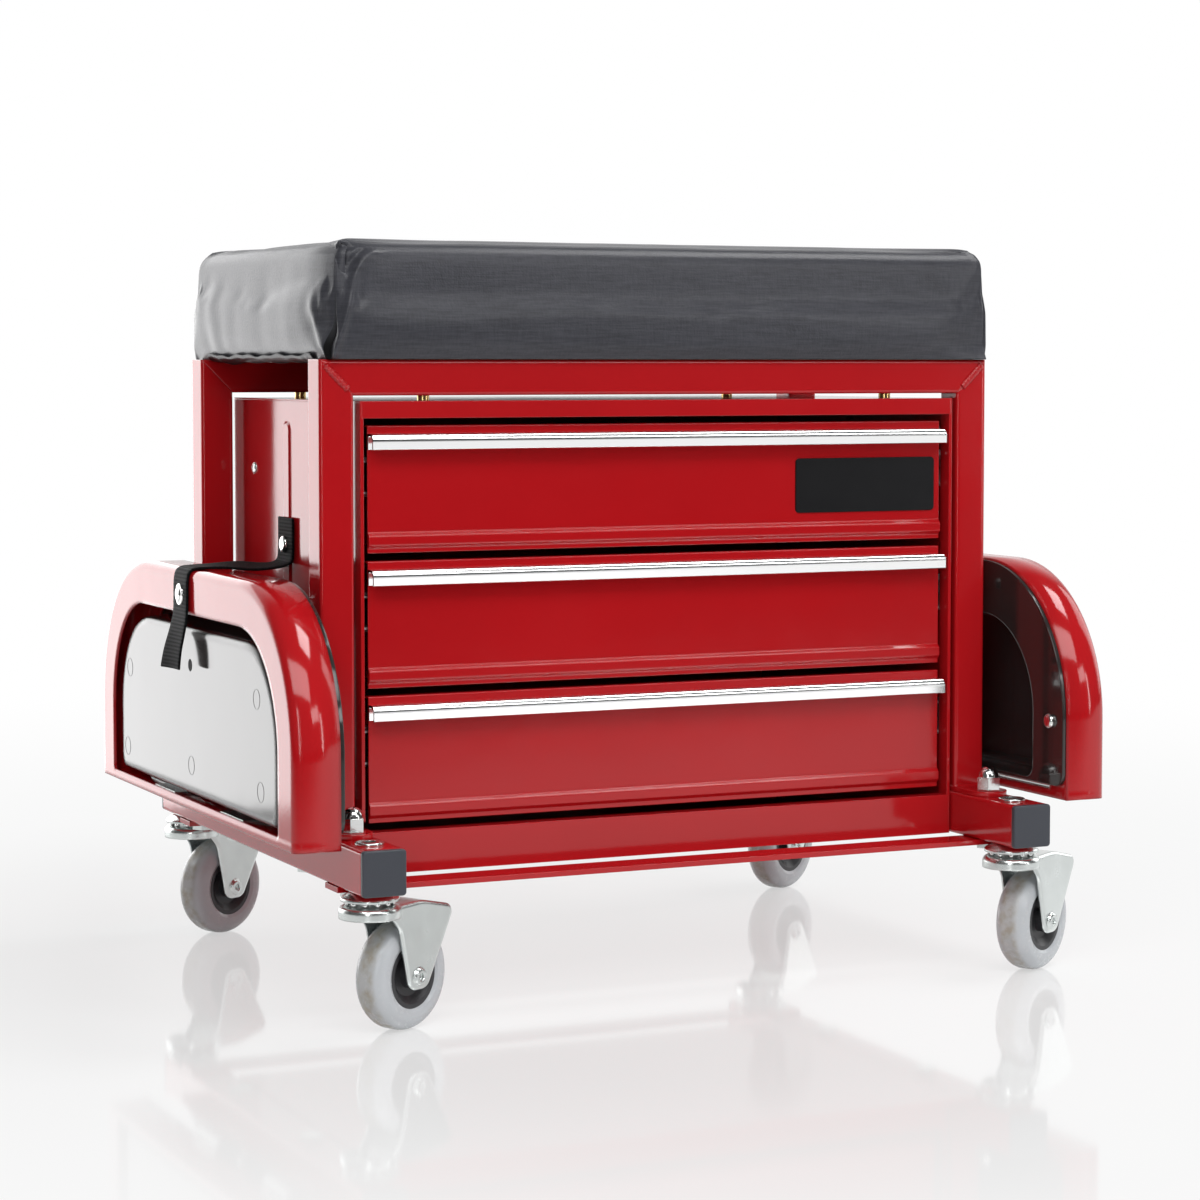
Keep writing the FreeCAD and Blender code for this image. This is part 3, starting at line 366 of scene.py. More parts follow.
# %% [markdown]
# ## Dressing the CAD nodes
# The CAD shapes are right as they are, so most nodes only get their finish. The nodes are listed by
# the start of their names.

# %% Dress the nodes
DRESS = [
    (tube_red, "base_rail post_ top_rail"), (sheet_red, "cross_bars chest_ drawer_"),
    (tray_red, "tray_frame"), (plug_moulding, "rail_end_plugs"), (tray_moulding, "tray_insert"),
    (seat_plywood, "seat_board"), (yellow_zinc, "chest_screws"), (slide_steel, "drawer_slides"),
    (bright_nickel, "acorn_nuts tray_fasteners strap_rivets caster_balls"),
    (zinc_plate, "frame_bolts hinge_ tray_hinge caster_kingpins"),
    (fork_zinc, "caster_upper caster_fork"), (hub_moulding, "caster_hub"),
    (tyre_grey, "caster_tyre"), (plate_black, "seat_cushion strap_"),
]
DRESS_STARTS = {start: material for material, starts in DRESS for start in starts.split()}
DRESS_ENDS = {"_pull": pull_aluminium, "_runners": slide_steel}


def finish_for(name):
    for end, material in DRESS_ENDS.items():
        if name.endswith(end):
            return material
    return DRESS_STARTS[max((s for s in DRESS_STARTS if name.startswith(s)), key=len)]


for name, node in nodes.items():
    node.data.materials.clear()
    node.data.materials.append(finish_for(name))
print("dressed", len(nodes), "nodes")

# %% [markdown]
# ## Seat cushion
# Foam on a board under black vinyl. The cover is pulled round the block, folded at the corners like
# a parcel and stapled below, so the sides are almost flat and the edges nearly sharp. A block of
# quads is rounded, blown up a little by a cloth simulation with air pressure inside, and then
# creased where the parcel folds pull. Below it keeps a pocket for the board.

# %% Cushion block
seat_low, seat_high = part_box("seat_cushion")
SEAT_HALF = np.array((211.0, 124.5)) * MM
SEAT_MIDDLE_X = 2.0 * MM
SEAT_MIDDLE_Y = 3.5 * MM
SEAT_LOW = seat_low.z - 0.25 * MM
SEAT_TOP = seat_high.z - 1.2 * MM
SEAT_ROUND = 9.0 * MM
SEAT_CORNER = 9.0 * MM
LEAN_BACK = 2.4 * MM
LEAN_FADE = 25.0 * MM
POCKET_EDGE = 4.8 * MM
POCKET_DEPTH = 9.3 * MM
HELD_FOOT = 2.0 * MM
CROWN = 1.0 * MM
TUCK_HEIGHT = 8.0 * MM
GRID_STEP = 7.0 * MM
FINE_LINES = np.arange(0.0, 7.5, 0.6)
EDGE_LINES = np.concatenate((FINE_LINES, np.arange(8.4, 21.0, 1.3), (22.5, 25.0))) * MM


def grid_lines(half, step):
    """Lines across the block: close together at both edges, even between them."""
    inner = half - EDGE_LINES[-1]
    middle = np.linspace(-inner, inner, round(2 * inner / step) + 1)
    return np.concatenate((EDGE_LINES[:-1] - half, middle, half - EDGE_LINES[-2::-1]))


def block_surface(xs, ys, zs):
    """Points and outward quads of a block with the given grid lines."""
    found, points, faces = {}, [], []
    nx, ny, nz = len(xs) - 1, len(ys) - 1, len(zs) - 1

    def at(i, j, k):
        if (i, j, k) not in found:
            found[i, j, k] = len(points)
            points.append((xs[i], ys[j], zs[k]))
        return found[i, j, k]

    def quad(*corners):
        faces.append([at(*c) for c in corners])

    for i in range(nx):
        for j in range(ny):
            quad((i, j, nz), (i + 1, j, nz), (i + 1, j + 1, nz), (i, j + 1, nz))
            quad((i, j, 0), (i, j + 1, 0), (i + 1, j + 1, 0), (i + 1, j, 0))
        for k in range(nz):
            quad((i, 0, k), (i + 1, 0, k), (i + 1, 0, k + 1), (i, 0, k + 1))
            quad((i + 1, ny, k), (i, ny, k), (i, ny, k + 1), (i + 1, ny, k + 1))
    for j in range(ny):
        for k in range(nz):
            quad((nx, j, k), (nx, j + 1, k), (nx, j + 1, k + 1), (nx, j, k + 1))
            quad((0, j + 1, k), (0, j, k), (0, j, k + 1), (0, j + 1, k + 1))
    return np.array(points), faces


def round_plan(xy):
    """Round the upright corners. Returns the new plan and the outward direction at each point."""
    core = np.clip(xy, SEAT_CORNER - SEAT_HALF, SEAT_HALF - SEAT_CORNER)
    out = xy - core
    reach = np.abs(out).max(axis=1, keepdims=True)
    length = np.maximum(np.linalg.norm(out, axis=1, keepdims=True), 1e-9)
    return core + out / length * reach, out / length


def cushion_block():
    xs, ys = (grid_lines(half, GRID_STEP) for half in SEAT_HALF)
    height = SEAT_TOP - SEAT_LOW
    rise = np.linspace(8.0 * MM, height - SEAT_ROUND, 16)
    foot = np.array((0, 1.5, 3.5, 5.5)) * MM
    zs = np.concatenate((foot, rise, height - np.array((5.4, 3.6, 1.8, 0)) * MM))
    points, faces = block_surface(xs, ys, zs)
    start = points.copy()
    flat = start[:, :2]
    inset = (SEAT_HALF - np.abs(flat)).min(axis=1)
    below = (points[:, 2] < 1e-9) & (inset > POCKET_EDGE - 1e-6)
    plan, outward = round_plan(flat)
    drop = height - points[:, 2]
    on_top = drop < 1e-9
    over = 90 - 45 * np.clip(1 - inset / SEAT_ROUND, 0, 1)
    beside = 45 * np.clip(1 - drop / SEAT_ROUND, 0, 1)
    turn = np.radians(np.where(on_top, over, beside))
    edge = np.where(on_top, inset < SEAT_ROUND, drop < SEAT_ROUND)
    shift = np.where(edge, SEAT_ROUND * (1 - np.cos(turn)) - inset * on_top, 0)
    points[:, :2] = plan - outward * shift[:, None]
    points[:, 2] = np.where(edge, height - SEAT_ROUND + SEAT_ROUND * np.sin(turn), points[:, 2])
    share = points[:, :2] / SEAT_HALF
    crown = (1 - share[:, 0] ** 2) * (1 - share[:, 1] ** 2)
    points[:, 2] += CROWN * crown * np.clip(points[:, 2] / height, 0, 1) ** 6
    tuck = (2.0 + 1.2 * np.abs(outward[:, 0])) * (1 - 1.7 * np.abs(outward[:, 0] * outward[:, 1]))
    tuck *= MM * np.clip(1 - points[:, 2] / TUCK_HEIGHT, 0, 1) ** 1.5 * (~below)
    points[:, :2] -= tuck[:, None] * outward * (inset < SEAT_ROUND)[:, None]
    lean = LEAN_BACK * np.clip(points[:, 2] / height, 0, 1) ** 4 * np.clip(1 - inset / LEAN_FADE, 0, 1)
    points[:, :2] -= lean[:, None] * outward
    points[below, 2] = POCKET_DEPTH
    points += (SEAT_MIDDLE_X, SEAT_MIDDLE_Y, SEAT_LOW)
    held = np.nonzero((points[:, 2] < SEAT_LOW + HELD_FOOT) | below)[0].tolist()
    return points, faces, held, start, outward


def put(name, data):
    """New object in the scene."""
    thing = bpy.data.objects.new(name, data)
    bpy.context.scene.collection.objects.link(thing)
    return thing


def new_piece(name, points, faces, *materials):
    mesh = bpy.data.meshes.new(name)
    mesh.from_pydata([tuple(p) for p in points], [], faces)
    for material in materials:
        mesh.materials.append(material)
    mesh.shade_smooth()
    return put(name, mesh)


def places_of(mesh):
    co = np.zeros(len(mesh.vertices) * 3, np.float32)
    mesh.vertices.foreach_get("co", co)
    return co.reshape(-1, 3).astype(float)


def set_places(mesh, co):
    mesh.vertices.foreach_set("co", co.astype(np.float32).ravel())
    mesh.update()


# %% Blow it up
CLOTH_FRAMES = 20
MOST_SWELL = 2.2 * MM
CLOTH = {
    "vertex_group_mass": "held", "use_pressure": True, "uniform_pressure_force": 3.0, "quality": 6,
    "tension_stiffness": 25, "compression_stiffness": 25, "bending_stiffness": 2,
}


def blow_up(piece, held):
    """Cloth with air inside. A point ends at most so far from where it started."""
    start = places_of(piece.data)
    piece.vertex_groups.new(name="held").add(held, 1.0, "REPLACE")
    cloth = piece.modifiers.new("Cloth", "CLOTH")
    for name, value in CLOTH.items():
        setattr(cloth.settings, name, value)
    cloth.settings.effector_weights.gravity = 0
    cloth.collision_settings.use_collision = False
    cloth.point_cache.frame_start = 1
    cloth.point_cache.frame_end = CLOTH_FRAMES
    scene = bpy.context.scene
    for number in range(1, CLOTH_FRAMES + 1):
        scene.frame_set(number)
    evaluated = piece.evaluated_get(bpy.context.evaluated_depsgraph_get())
    moved = places_of(evaluated.data) - start
    piece.modifiers.remove(cloth)
    piece.vertex_groups.clear()
    scene.frame_set(1)
    length = np.maximum(np.linalg.norm(moved, axis=1, keepdims=True), 1e-9)
    moved *= np.minimum(1.0, MOST_SWELL / length)
    set_places(piece.data, start + moved)
    print("cushion swelled by", round(float(length.max()) / MM, 1), "mm, kept to", round(MOST_SWELL / MM, 1))


points, faces, held, cover_start, cover_outward = cushion_block()
seat_cover = new_piece("seat_cover", points, faces)
blow_up(seat_cover, held)


# %% [markdown]
# The parcel folds. At each upright corner the vinyl of the side runs in behind the flap of the front
# or back, so the flap's edge stands square and a deep line lies beside it. Further creases pull from
# the corners. Each is a line on one face of the block, in millimetres along the face and up from its
# foot, with a width and a dip: points near the line sink, or stand out where the dip is negative.

# %% Creases
FRONT_CREASES = [
    ([(-205, 62), (-197, 50), (-189, 61)], 2.0, 3.6),
    ([(-197.5, 66), (-197.5, 56)], 3.5, 1.4),
    ([(-186, 61), (-194, 48), (-198, 34), (-203, 14), (-207.5, 2)], 1.8, -2.4),
    ([(-186, 58), (-183, 46), (-187, 32)], 7.0, -0.9),
    ([(204, 58), (166, 5)], 2.6, -0.9),
    ([(186, 12), (170, 4), (150, 3)], 3.0, 0.8),
]
LEFT_CREASES = [
    ([(97, 34), (107, 17), (120, 3)], 3.2, -1.6),
    ([(90, 36), (99, 17), (111, 2)], 3.6, 0.9),
    ([(-94, 46), (-90, 24), (-84, 4)], 5.0, 0.55),
    ([(-80, 44), (-74, 20), (-70, 4)], 5.0, -0.5),
    ([(-64, 42), (-58, 18), (-58, 3)], 5.0, 0.5),
    ([(-30, 40), (-32, 8)], 8.0, 0.35),
    ([(14, 44), (18, 10)], 10.0, 0.4),
    ([(60, 46), (64, 8)], 10.0, -0.4),
]
FLAPS = {
    (-1, -1): (1.2, 4.6, 5.6), (1, -1): (0.2, 0.7, 0.6),
    (-1, 1): (0.6, 2.4, 1.6), (1, 1): (0.6, 2.4, 1.6),
}
RIGHT_BEND = ((204, 58), (164, 2))
BEND_SLOPE, BEND_SOFT, BEND_MOST, BEND_FOOT = 0.16, 4.0, 5.0, 8.0
BOARD_CLEAR, CLEAR_FADE = 9.0, 10.0
FLAP_EDGE = 1.2
POCKET_RIDGE, POCKET_HOLLOW = 3.3, 0.95
GROOVE_SHIFT, GROOVE_WIDTH, GROOVE_CORE = 1.4, 1.9, 1.2
GROOVE_BLACK = 5.0
FACE_FADE = 6.0 * MM
PULL_REACH = 44.0 * MM
PULL_DEPTH = 7.0 * MM
cover_up = cover_start[:, 2] / MM
above_board = np.clip((cover_up - BOARD_CLEAR) / CLEAR_FADE, 0, 1)
groove_depth = np.zeros(len(cover_start))


def near_line(along, up, line, width):
    """1 on a polyline, falling smoothly to 0 beside it."""
    best = np.full(len(along), 1e9)
    for (a0, u0), (a1, u1) in zip(line, line[1:]):
        da, du = a1 - a0, u1 - u0
        t = np.clip(((along - a0) * da + (up - u0) * du) / (da * da + du * du), 0, 1)
        best = np.minimum(best, np.hypot(along - a0 - t * da, up - u0 - t * du))
    return np.exp(-(best / width) ** 2)


def on_face(axis, sign):
    """1 on one side face of the block, fading out over its edges."""
    inset = SEAT_HALF[axis] - sign * cover_start[:, axis]
    return np.clip(1 - inset / FACE_FADE, 0, 1)


def fold(co, axis, sign, along, creases):
    """Sink or raise the points of one side face along its creases."""
    sunk = np.zeros(len(co))
    for line, width, dip in creases:
        sunk += dip * MM * near_line(along / MM, cover_up, line, width)
    co[:, :2] -= (sunk * on_face(axis, sign))[:, None] * cover_outward


def tuck_corner(co, side, end, low, high, deep):
    """Square the flap at one corner and cut the deep line beside its edge."""
    share = cover_up / ((SEAT_TOP - SEAT_LOW) / MM)
    from_corner = (SEAT_HALF[0] - side * cover_start[:, 0]) / MM
    line = low + (high - low) * np.clip(share, 0, 1) ** 0.8
    past = np.clip((from_corner - line) / FLAP_EDGE, 0, 1)
    face = on_face(1, end)
    lift = SEAT_CORNER * (1 - np.abs(cover_outward[:, 1])) * (from_corner < SEAT_CORNER / MM)
    co[:, 1] += end * lift * past * face
    off_line = from_corner - line + GROOVE_SHIFT
    groove = deep * MM * np.exp(-(off_line / GROOVE_WIDTH) ** 2)
    co[:, :2] -= (groove * face * (0.1 + 0.9 * above_board))[:, None] * cover_outward
    line_depth = np.exp(-(off_line / GROOVE_CORE) ** 2) * deep / GROOVE_BLACK
    np.maximum(groove_depth, np.clip(line_depth, 0, 1) * (face > 0), out=groove_depth)
    ridge = POCKET_RIDGE * deep * np.clip(share, 0.1, 1)
    hollow = POCKET_HOLLOW * deep * MM * np.clip(1 - (from_corner - line) / ridge, 0, 1) * past
    co[:, 1] -= end * hollow * face * above_board


def bend_corner(co, end, along):
    """Lay the face back beyond a slanting fold near its right end."""
    (a0, u0), (a1, u1) = RIGHT_BEND
    past = ((along / MM - a0) * (u0 - u1) - (cover_up - u0) * (a0 - a1)) / math.hypot(a1 - a0, u1 - u0)
    soft = (past + np.sqrt(past ** 2 + BEND_SOFT ** 2)) / 2
    laid = np.clip(soft * BEND_SLOPE, 0, BEND_MOST) * MM
    co[:, 1] -= end * laid * on_face(1, end) * np.clip(cover_up / BEND_FOOT, 0, 1)


def pull_in(co, side, end):
    """Draw a side face in towards one of its corners, where the parcel fold is pulled tight."""
    from_corner = (SEAT_HALF[1] - end * cover_start[:, 1]) / PULL_REACH
    drawn = PULL_DEPTH * np.clip(1 - from_corner, 0, 1) ** 2 * on_face(0, side)
    co[:, 0] -= side * drawn * above_board


def crease_cover():
    co = places_of(seat_cover.data)
    pull_in(co, -1, -1)
    for (side, end), sizes in FLAPS.items():
        tuck_corner(co, side, end, *sizes)
    x, y = cover_start[:, 0], cover_start[:, 1]
    for end in (-1, 1):
        bend_corner(co, end, -end * x)
        fold(co, 1, end, -end * x, FRONT_CREASES)
        fold(co, 0, end, end * y, LEFT_CREASES)
    set_places(seat_cover.data, co)
    depth = seat_cover.data.attributes.new("groove_depth", "FLOAT", "POINT")
    depth.data.foreach_set("value", groove_depth.astype(np.float32))
    print("creased", len(FRONT_CREASES) + len(LEFT_CREASES), "lines,", len(FLAPS), "corner flaps")


crease_cover()
smooth = seat_cover.modifiers.new("Smooth", "SUBSURF")
smooth.levels = smooth.render_levels = 1


# %% [markdown]
# ### Black vinyl
# Coated cloth. The coating copies the weave behind it as a fine grid, with a leather grain over it,
# and it is a little greyer where it is stretched. No light gets into the deep lines beside the
# flaps, so their depth is kept on the mesh and makes the vinyl black and dull there.

# %% Vinyl
def black_vinyl(name, dark, light, shine):
    f = Finish(name)
    grain = f.cells(950.0, feature="SMOOTH_F1")
    cloud = f.noise(22.0, 4.0, f.along((0.4, 0.4, 1.0)))
    streak = f.noise(1.0, 5.0, f.along((60.0, 60.0, 900.0)), 0.65)
    weft = f.noise(1.0, 3.0, f.along((900.0, 900.0, 120.0)), 0.6)
    worn = (cloud * 0.25 + streak * 0.50 + weft * 0.25).step(0.32, 0.68)
    deep = f.add("ShaderNodeAttribute", {"attribute_name": "groove_depth"}, {}, "Fac")
    gloss = grain * 0.08 + streak * 0.10 + 0.25 + deep * 0.6
    normal = f.bump(grain * 0.5 + streak * 0.7 + weft * 0.5, 0.00020, 0.6)
    colour = f.mix(deep, f.mix(worn, dark, light), (0.002, 0.002, 0.002))
    return f.done(colour, gloss, normal, Specular_IOR_Level=shine)


# The hem's vinyl is the seat's vinyl drawn far darker: painted shade, as the hem lies in shadow.
hem_vinyl = black_vinyl("hem_vinyl", (0.008, 0.008, 0.009), (0.016, 0.016, 0.018), 0.10)
seat_vinyl = black_vinyl("seat_vinyl", (0.036, 0.0367, 0.0433), (0.0645, 0.0657, 0.0775), 0.27)
seat_cover.data.materials.append(seat_vinyl)
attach(seat_cover, "frame")
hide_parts("seat_cushion")
print("seat cover", len(seat_cover.data.polygons), "quads before smoothing")

# %% [markdown]
# ### Hem
# Between the portals the vinyl that is turned under the board shows as a thin wavy hem, bunched near
# the corners. It is a strip that is curled from the cover's foot to the staples. Its vinyl is drawn
# far darker than the seat's: painted shade for the shadow under the cover's foot.

# %% Hem
portal_low, portal_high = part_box("top_rail_front")[0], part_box("top_rail_back")[1]
tube = portal_high.z - portal_low.z
HEM_THICK = 0.8 * MM
HEM_ROWS, HEM_COLUMNS = 160, 24
HEM_TURN = 0.15
HEM_BELLY = 0.7
HEM_DROP = 0.8
HEM_OUTER = SEAT_HALF[0] + 0.2 * MM
HEM_INNER = seat_high.x - 5.6 * MM
HEM_UNDER = 20 * MM
hem_start = portal_low.y + tube + 1.5 * MM
hem_length = portal_high.y - portal_low.y - 2 * tube - 3 * MM


def hem_points(sign):
    points = []
    for i in range(HEM_ROWS + 1):
        t = i / HEM_ROWS
        bunch = math.exp(-((t - 0.07) / 0.05) ** 2) + 0.8 * math.exp(-((t - 0.92) / 0.06) ** 2)
        ripple = 0.5 + 0.3 * math.sin(31 * t) + 0.3 * math.sin(57 * t + 1)
        droop = ripple + bunch * (1.0 + 0.6 * math.sin(150 * t))
        sway = 0.7 * math.sin(23 * t + 0.5) + 0.5 * math.sin(71 * t)
        rise = 2.2 + 0.6 * math.sin(19 * t + 2) + 0.5 * math.sin(47 * t) + 0.6 * bunch
        for j in range(HEM_COLUMNS + 1):
            s = j / HEM_COLUMNS
            under = min(1.0, s / HEM_TURN)
            belly = math.sin(math.pi * s / HEM_BELLY) ** 0.8 if s < HEM_BELLY else 0.0
            inner = HEM_INNER - HEM_UNDER * s + sway * MM * belly
            x = HEM_OUTER + (inner - HEM_OUTER) * under
            z = SEAT_LOW + (rise * (1 - under) ** 2.5 - HEM_DROP * under - droop * belly) * MM
            points.append((SEAT_MIDDLE_X + sign * x, hem_start + hem_length * t, z))
    return points


def hem_piece(side, sign):
    wide = HEM_COLUMNS + 1
    starts = [i * wide + j for i in range(HEM_ROWS) for j in range(HEM_COLUMNS)]
    faces = [[a, a + 1, a + wide + 1, a + wide][::sign] for a in starts]
    hem = new_piece("seat_hem_" + side, hem_points(sign), faces, hem_vinyl)
    wall = hem.modifiers.new("Wall", "SOLIDIFY")
    wall.thickness = HEM_THICK
    wall.offset = 0.0
    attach(hem, "frame")


for side, sign in SIDES.items():
    hem_piece(side, sign)

# %% [markdown]
# ## Straps
# Each tray is held up by a black webbing strap: riveted to the chest, over the top of the tray and
# snapped on its face, with a loose tail. The route is drawn as a smooth curve, and a strip is laid
# along it, with its own UV map in metres so that the ribs of the weave follow the strap.

# %% Strap route
STRAP_WIDTH = 25.0 * MM
STRAP_THICK = 1.5 * MM
STRAP_Y = 4.0 * MM
STRAP_TWIST = 3.0 * MM
STRAP_CURL = 1.2 * MM
STRAP_OFF_FACE = 1.7 * MM
LOOSE_FROM, LOOSE_FADE = 26.0 * MM, 30.0 * MM
GAP_MIDDLE, GAP_WIDTH = 215.0 * MM, 14.0 * MM
SNAP_DROP = 14.0 * MM
ROUTE_BY_WALL = [(0, 8), (1, 1), (12, -0.5), (34, 0.6)]
ROUTE_BY_FACE = [(-12, 0.4), (-2, 0), (0, -6), (0, -16), (0.3, -28), (2.0, -38), (4.2, -49), (4.6, -58)]
strap_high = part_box("strap_right")[1]
tray_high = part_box("tray_frame_right")[1]
chest_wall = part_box("chest_side_right")[1].x


def smooth_route(points):
    """Points along the NURBS line that the given ones control."""
    curve = bpy.data.curves.new("route", "CURVE")
    curve.dimensions = "3D"
    spline = curve.splines.new("NURBS")
    spline.points.add(len(points) - 1)
    for knot, place in zip(spline.points, points):
        knot.co = (*place, 1.0)
    spline.order_u = 3
    spline.use_endpoint_u = True
    spline.resolution_u = 8
    carrier = bpy.data.objects.new("route", curve)
    mesh = bpy.data.meshes.new_from_object(carrier)
    line = [v.co.copy() for v in mesh.vertices]
    bpy.data.objects.remove(carrier)
    bpy.data.curves.remove(curve)
    return line


def strap_route():
    """Middle line of the right-hand strap in the XZ plane."""
    wall = chest_wall + STRAP_THICK * 0.55
    over = tray_high.z + 1.1 * MM
    face = tray_high.x + STRAP_OFF_FACE
    marks = [(wall, strap_high.z), (wall, strap_high.z - 9 * MM)]
    marks += [(wall + x * MM, over + z * MM) for x, z in ROUTE_BY_WALL]
    marks += [(face + x * MM, over + z * MM) for x, z in ROUTE_BY_FACE]
    return smooth_route([(x, 0, z) for x, z in marks])


# %% Strap mesh
def mesh_of(bm, name):
    mesh = bpy.data.meshes.new(name)
    bm.to_mesh(mesh)
    bm.free()
    return mesh


def strap_mesh(sign):
    """Strip along the route, with its UV map, and its length."""
    line = strap_route()
    bm = bmesh.new()
    uv = bm.loops.layers.uv.new("weave")
    across = np.linspace(-0.5, 0.5, 7)
    rows, run = [], [0.0]
    for i, p in enumerate(line):
        if i:
            run.append(run[-1] + (p - line[i - 1]).length)
        loose = max(0.0, min(1.0, (tray_high.z - LOOSE_FROM - p.z) / LOOSE_FADE))
        on_top = p.z > tray_high.z - 1 * MM
        bridge = math.exp(-((p.x - GAP_MIDDLE) / GAP_WIDTH) ** 2) if on_top else 0.0
        row = []
        for a in across:
            curl = (abs(a) * 2) ** 2 * STRAP_CURL * loose
            x = p.x + curl + a * STRAP_TWIST * loose
            y = STRAP_Y + a * STRAP_WIDTH + STRAP_TWIST * loose
            row.append(bm.verts.new((sign * x, y, p.z + a * STRAP_TWIST * bridge)))
        rows.append(row)
    for i in range(len(rows) - 1):
        for j in range(len(across) - 1):
            ring = [(i, j), (i, j + 1), (i + 1, j + 1), (i + 1, j)][::-sign]
            face = bm.faces.new([rows[a][b] for a, b in ring])
            for loop, (a, b) in zip(face.loops, ring):
                loop[uv].uv = (across[b] * STRAP_WIDTH, run[a])
    return mesh_of(bm, "strip"), run[-1]


def applied(carrier):
    """The carrier's mesh with its modifiers applied. The carrier goes."""
    graph = bpy.context.evaluated_depsgraph_get()
    made = bpy.data.meshes.new_from_object(carrier.evaluated_get(graph))
    bpy.data.objects.remove(carrier)
    return made


def thickened(mesh):
    """The strip with its wall and soft edges."""
    carrier = put("carrier", mesh)
    wall = carrier.modifiers.new("Wall", "SOLIDIFY")
    wall.thickness = STRAP_THICK
    wall.offset = 0.0
    round_off = carrier.modifiers.new("Round", "BEVEL")
    round_off.width = STRAP_THICK * 0.3
    round_off.segments = 2
    return applied(carrier)


# %% Webbing
RIB_PITCH = 2.1 * MM
YARN_PITCH = 1.3 * MM


def black_webbing():
    f = Finish("black_webbing")
    uv = f.add("ShaderNodeUVMap", {"uv_map": "weave"}, {})
    across, along = f.part(uv, "X"), f.part(uv, "Y")
    rib = (along * (2 * math.pi / RIB_PITCH)).math("SINE") * 0.5 + 0.5
    yarn = (across * (2 * math.pi / YARN_PITCH) + along * (math.pi / RIB_PITCH)).math("SINE") * 0.5 + 0.5
    fuzz = f.noise(2600.0, 3.0)
    weave = rib * 0.65 + yarn * 0.35
    colour = f.mix(weave * 0.7 + fuzz * 0.3, (0.002, 0.002, 0.0025), (0.011, 0.011, 0.012))
    gloss = 0.72 - weave * 0.16
    normal = f.bump(weave + fuzz * 0.2, 0.0004, 0.8)
    return f.done(colour, gloss, normal, Specular_IOR_Level=0.07)


strap_webbing = black_webbing()


# %% [markdown]
# The snap cap is a turned piece: a shallow dome with a rolled rim. A profile is turned about the
# X axis and joined to the strap, so that both flatten together when the tray folds down.

# %% Snap cap and strap pieces
TURN_STEPS = 40


def turned(profile, place, sign):
    """Points and faces of a profile (radius and height in mm), turned about X and pointing outwards."""
    points, faces = [], []
    for r, h in profile:
        for k in range(TURN_STEPS):
            a = 2 * math.pi * k / TURN_STEPS
            y, z = place[1] + r * MM * math.cos(a), place[2] + r * MM * math.sin(a)
            points.append((sign * (place[0] + h * MM), y, z))
    last = len(points) - TURN_STEPS
    for low in range(0, last, TURN_STEPS):
        high = low + TURN_STEPS
        for k in range(TURN_STEPS):
            n = (k + 1) % TURN_STEPS
            faces.append([low + k, low + n, high + n, high + k][::sign])
    faces.append(list(range(TURN_STEPS))[::-sign])
    faces.append(list(range(last, len(points)))[::sign])
    return points, faces


SNAP_PROFILE = [(5.0, -0.9), (6.0, -0.5), (6.3, 0.2), (6.1, 0.7), (5.5, 0.8),
                (5.2, 0.75), (4.6, 1.25), (3.2, 1.8), (1.6, 2.1), (0.4, 2.2)]


def strap_piece(side, sign):
    flat, length = strap_mesh(sign)
    bm = bmesh.new()
    bm.from_mesh(thickened(flat))
    place = (tray_high.x + STRAP_OFF_FACE + STRAP_THICK / 2, STRAP_Y, tray_high.z - SNAP_DROP)
    points, faces = turned(SNAP_PROFILE, place, sign)
    verts = [bm.verts.new(p) for p in points]
    for ring in faces:
        bm.faces.new([verts[i] for i in ring]).material_index = 1
    mesh = mesh_of(bm, "strap_" + side + "_webbing")
    mesh.materials.append(strap_webbing)
    mesh.materials.append(bright_nickel)
    mesh.shade_smooth()
    piece = put("strap_" + side + "_webbing", mesh)
    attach(piece, "frame")
    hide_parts("strap_" + side, *(["strap_snaps"] if sign > 0 else []))
    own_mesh(piece)
    print("strap", side, "is", round(length / MM), "mm long")


for side, sign in SIDES.items():
    strap_piece(side, sign)

# %% [markdown]
# ## Things that repeat
# Rivets, weld beads, moulding marks and staples are made by Geometry Nodes. Each tree takes a few
# points or lines and named sizes, places its shape on them, makes the copies real and sets the
# finish. The result is turned into a plain mesh, one for each moving body.


# %% Growing helpers
class Growth(Tree):
    """A Geometry Nodes tree with named inputs."""

    def __init__(self, name, *inputs):
        tree = bpy.data.node_groups.new(name, "GeometryNodeTree")
        super().__init__(tree)
        kinds = {"Geometry": "NodeSocketGeometry", "Finish": "NodeSocketMaterial"}
        for label in ("Geometry", *inputs, "Finish"):
            kind = kinds.get(label, "NodeSocketFloat")
            tree.interface.new_socket(label, in_out="INPUT", socket_type=kind)
        tree.interface.new_socket("Geometry", in_out="OUTPUT", socket_type="NodeSocketGeometry")
        self.source = tree.nodes.new("NodeGroupInput")

    def given(self, label):
        return Value(self, self.source.outputs[label])

    def aimed(self, shape, size=None):
        """Copies of a shape on the carrier's points, each facing the way that its point aims."""
        settings = {"data_type": "FLOAT_VECTOR"}
        aim = self.add("GeometryNodeInputNamedAttribute", settings, {"Name": "aim"})
        turn = self.add("FunctionNodeAlignRotationToVector", {"axis": "Z"}, {"Vector": aim})
        sockets = {"Points": self.given("Geometry"), "Instance": shape, "Rotation": turn, "Scale": size}
        return self.add("GeometryNodeInstanceOnPoints", {}, sockets)

    def circle(self, resolution, radius):
        sockets = {"Resolution": resolution, "Radius": radius}
        return self.add("GeometryNodeCurvePrimitiveCircle", {}, sockets)

    def close(self, shape):
        """Make the copies real, smooth them and set the finish."""
        real = self.add("GeometryNodeRealizeInstances", {}, {"Geometry": shape})
        soft = self.add("GeometryNodeSetShadeSmooth", {}, {"Geometry": real})
        sockets = {"Geometry": soft, "Material": self.given("Finish")}
        dressed = self.add("GeometryNodeSetMaterial", {}, sockets)
        self.add("NodeGroupOutput", {}, {"Geometry": dressed})
        return self.tree


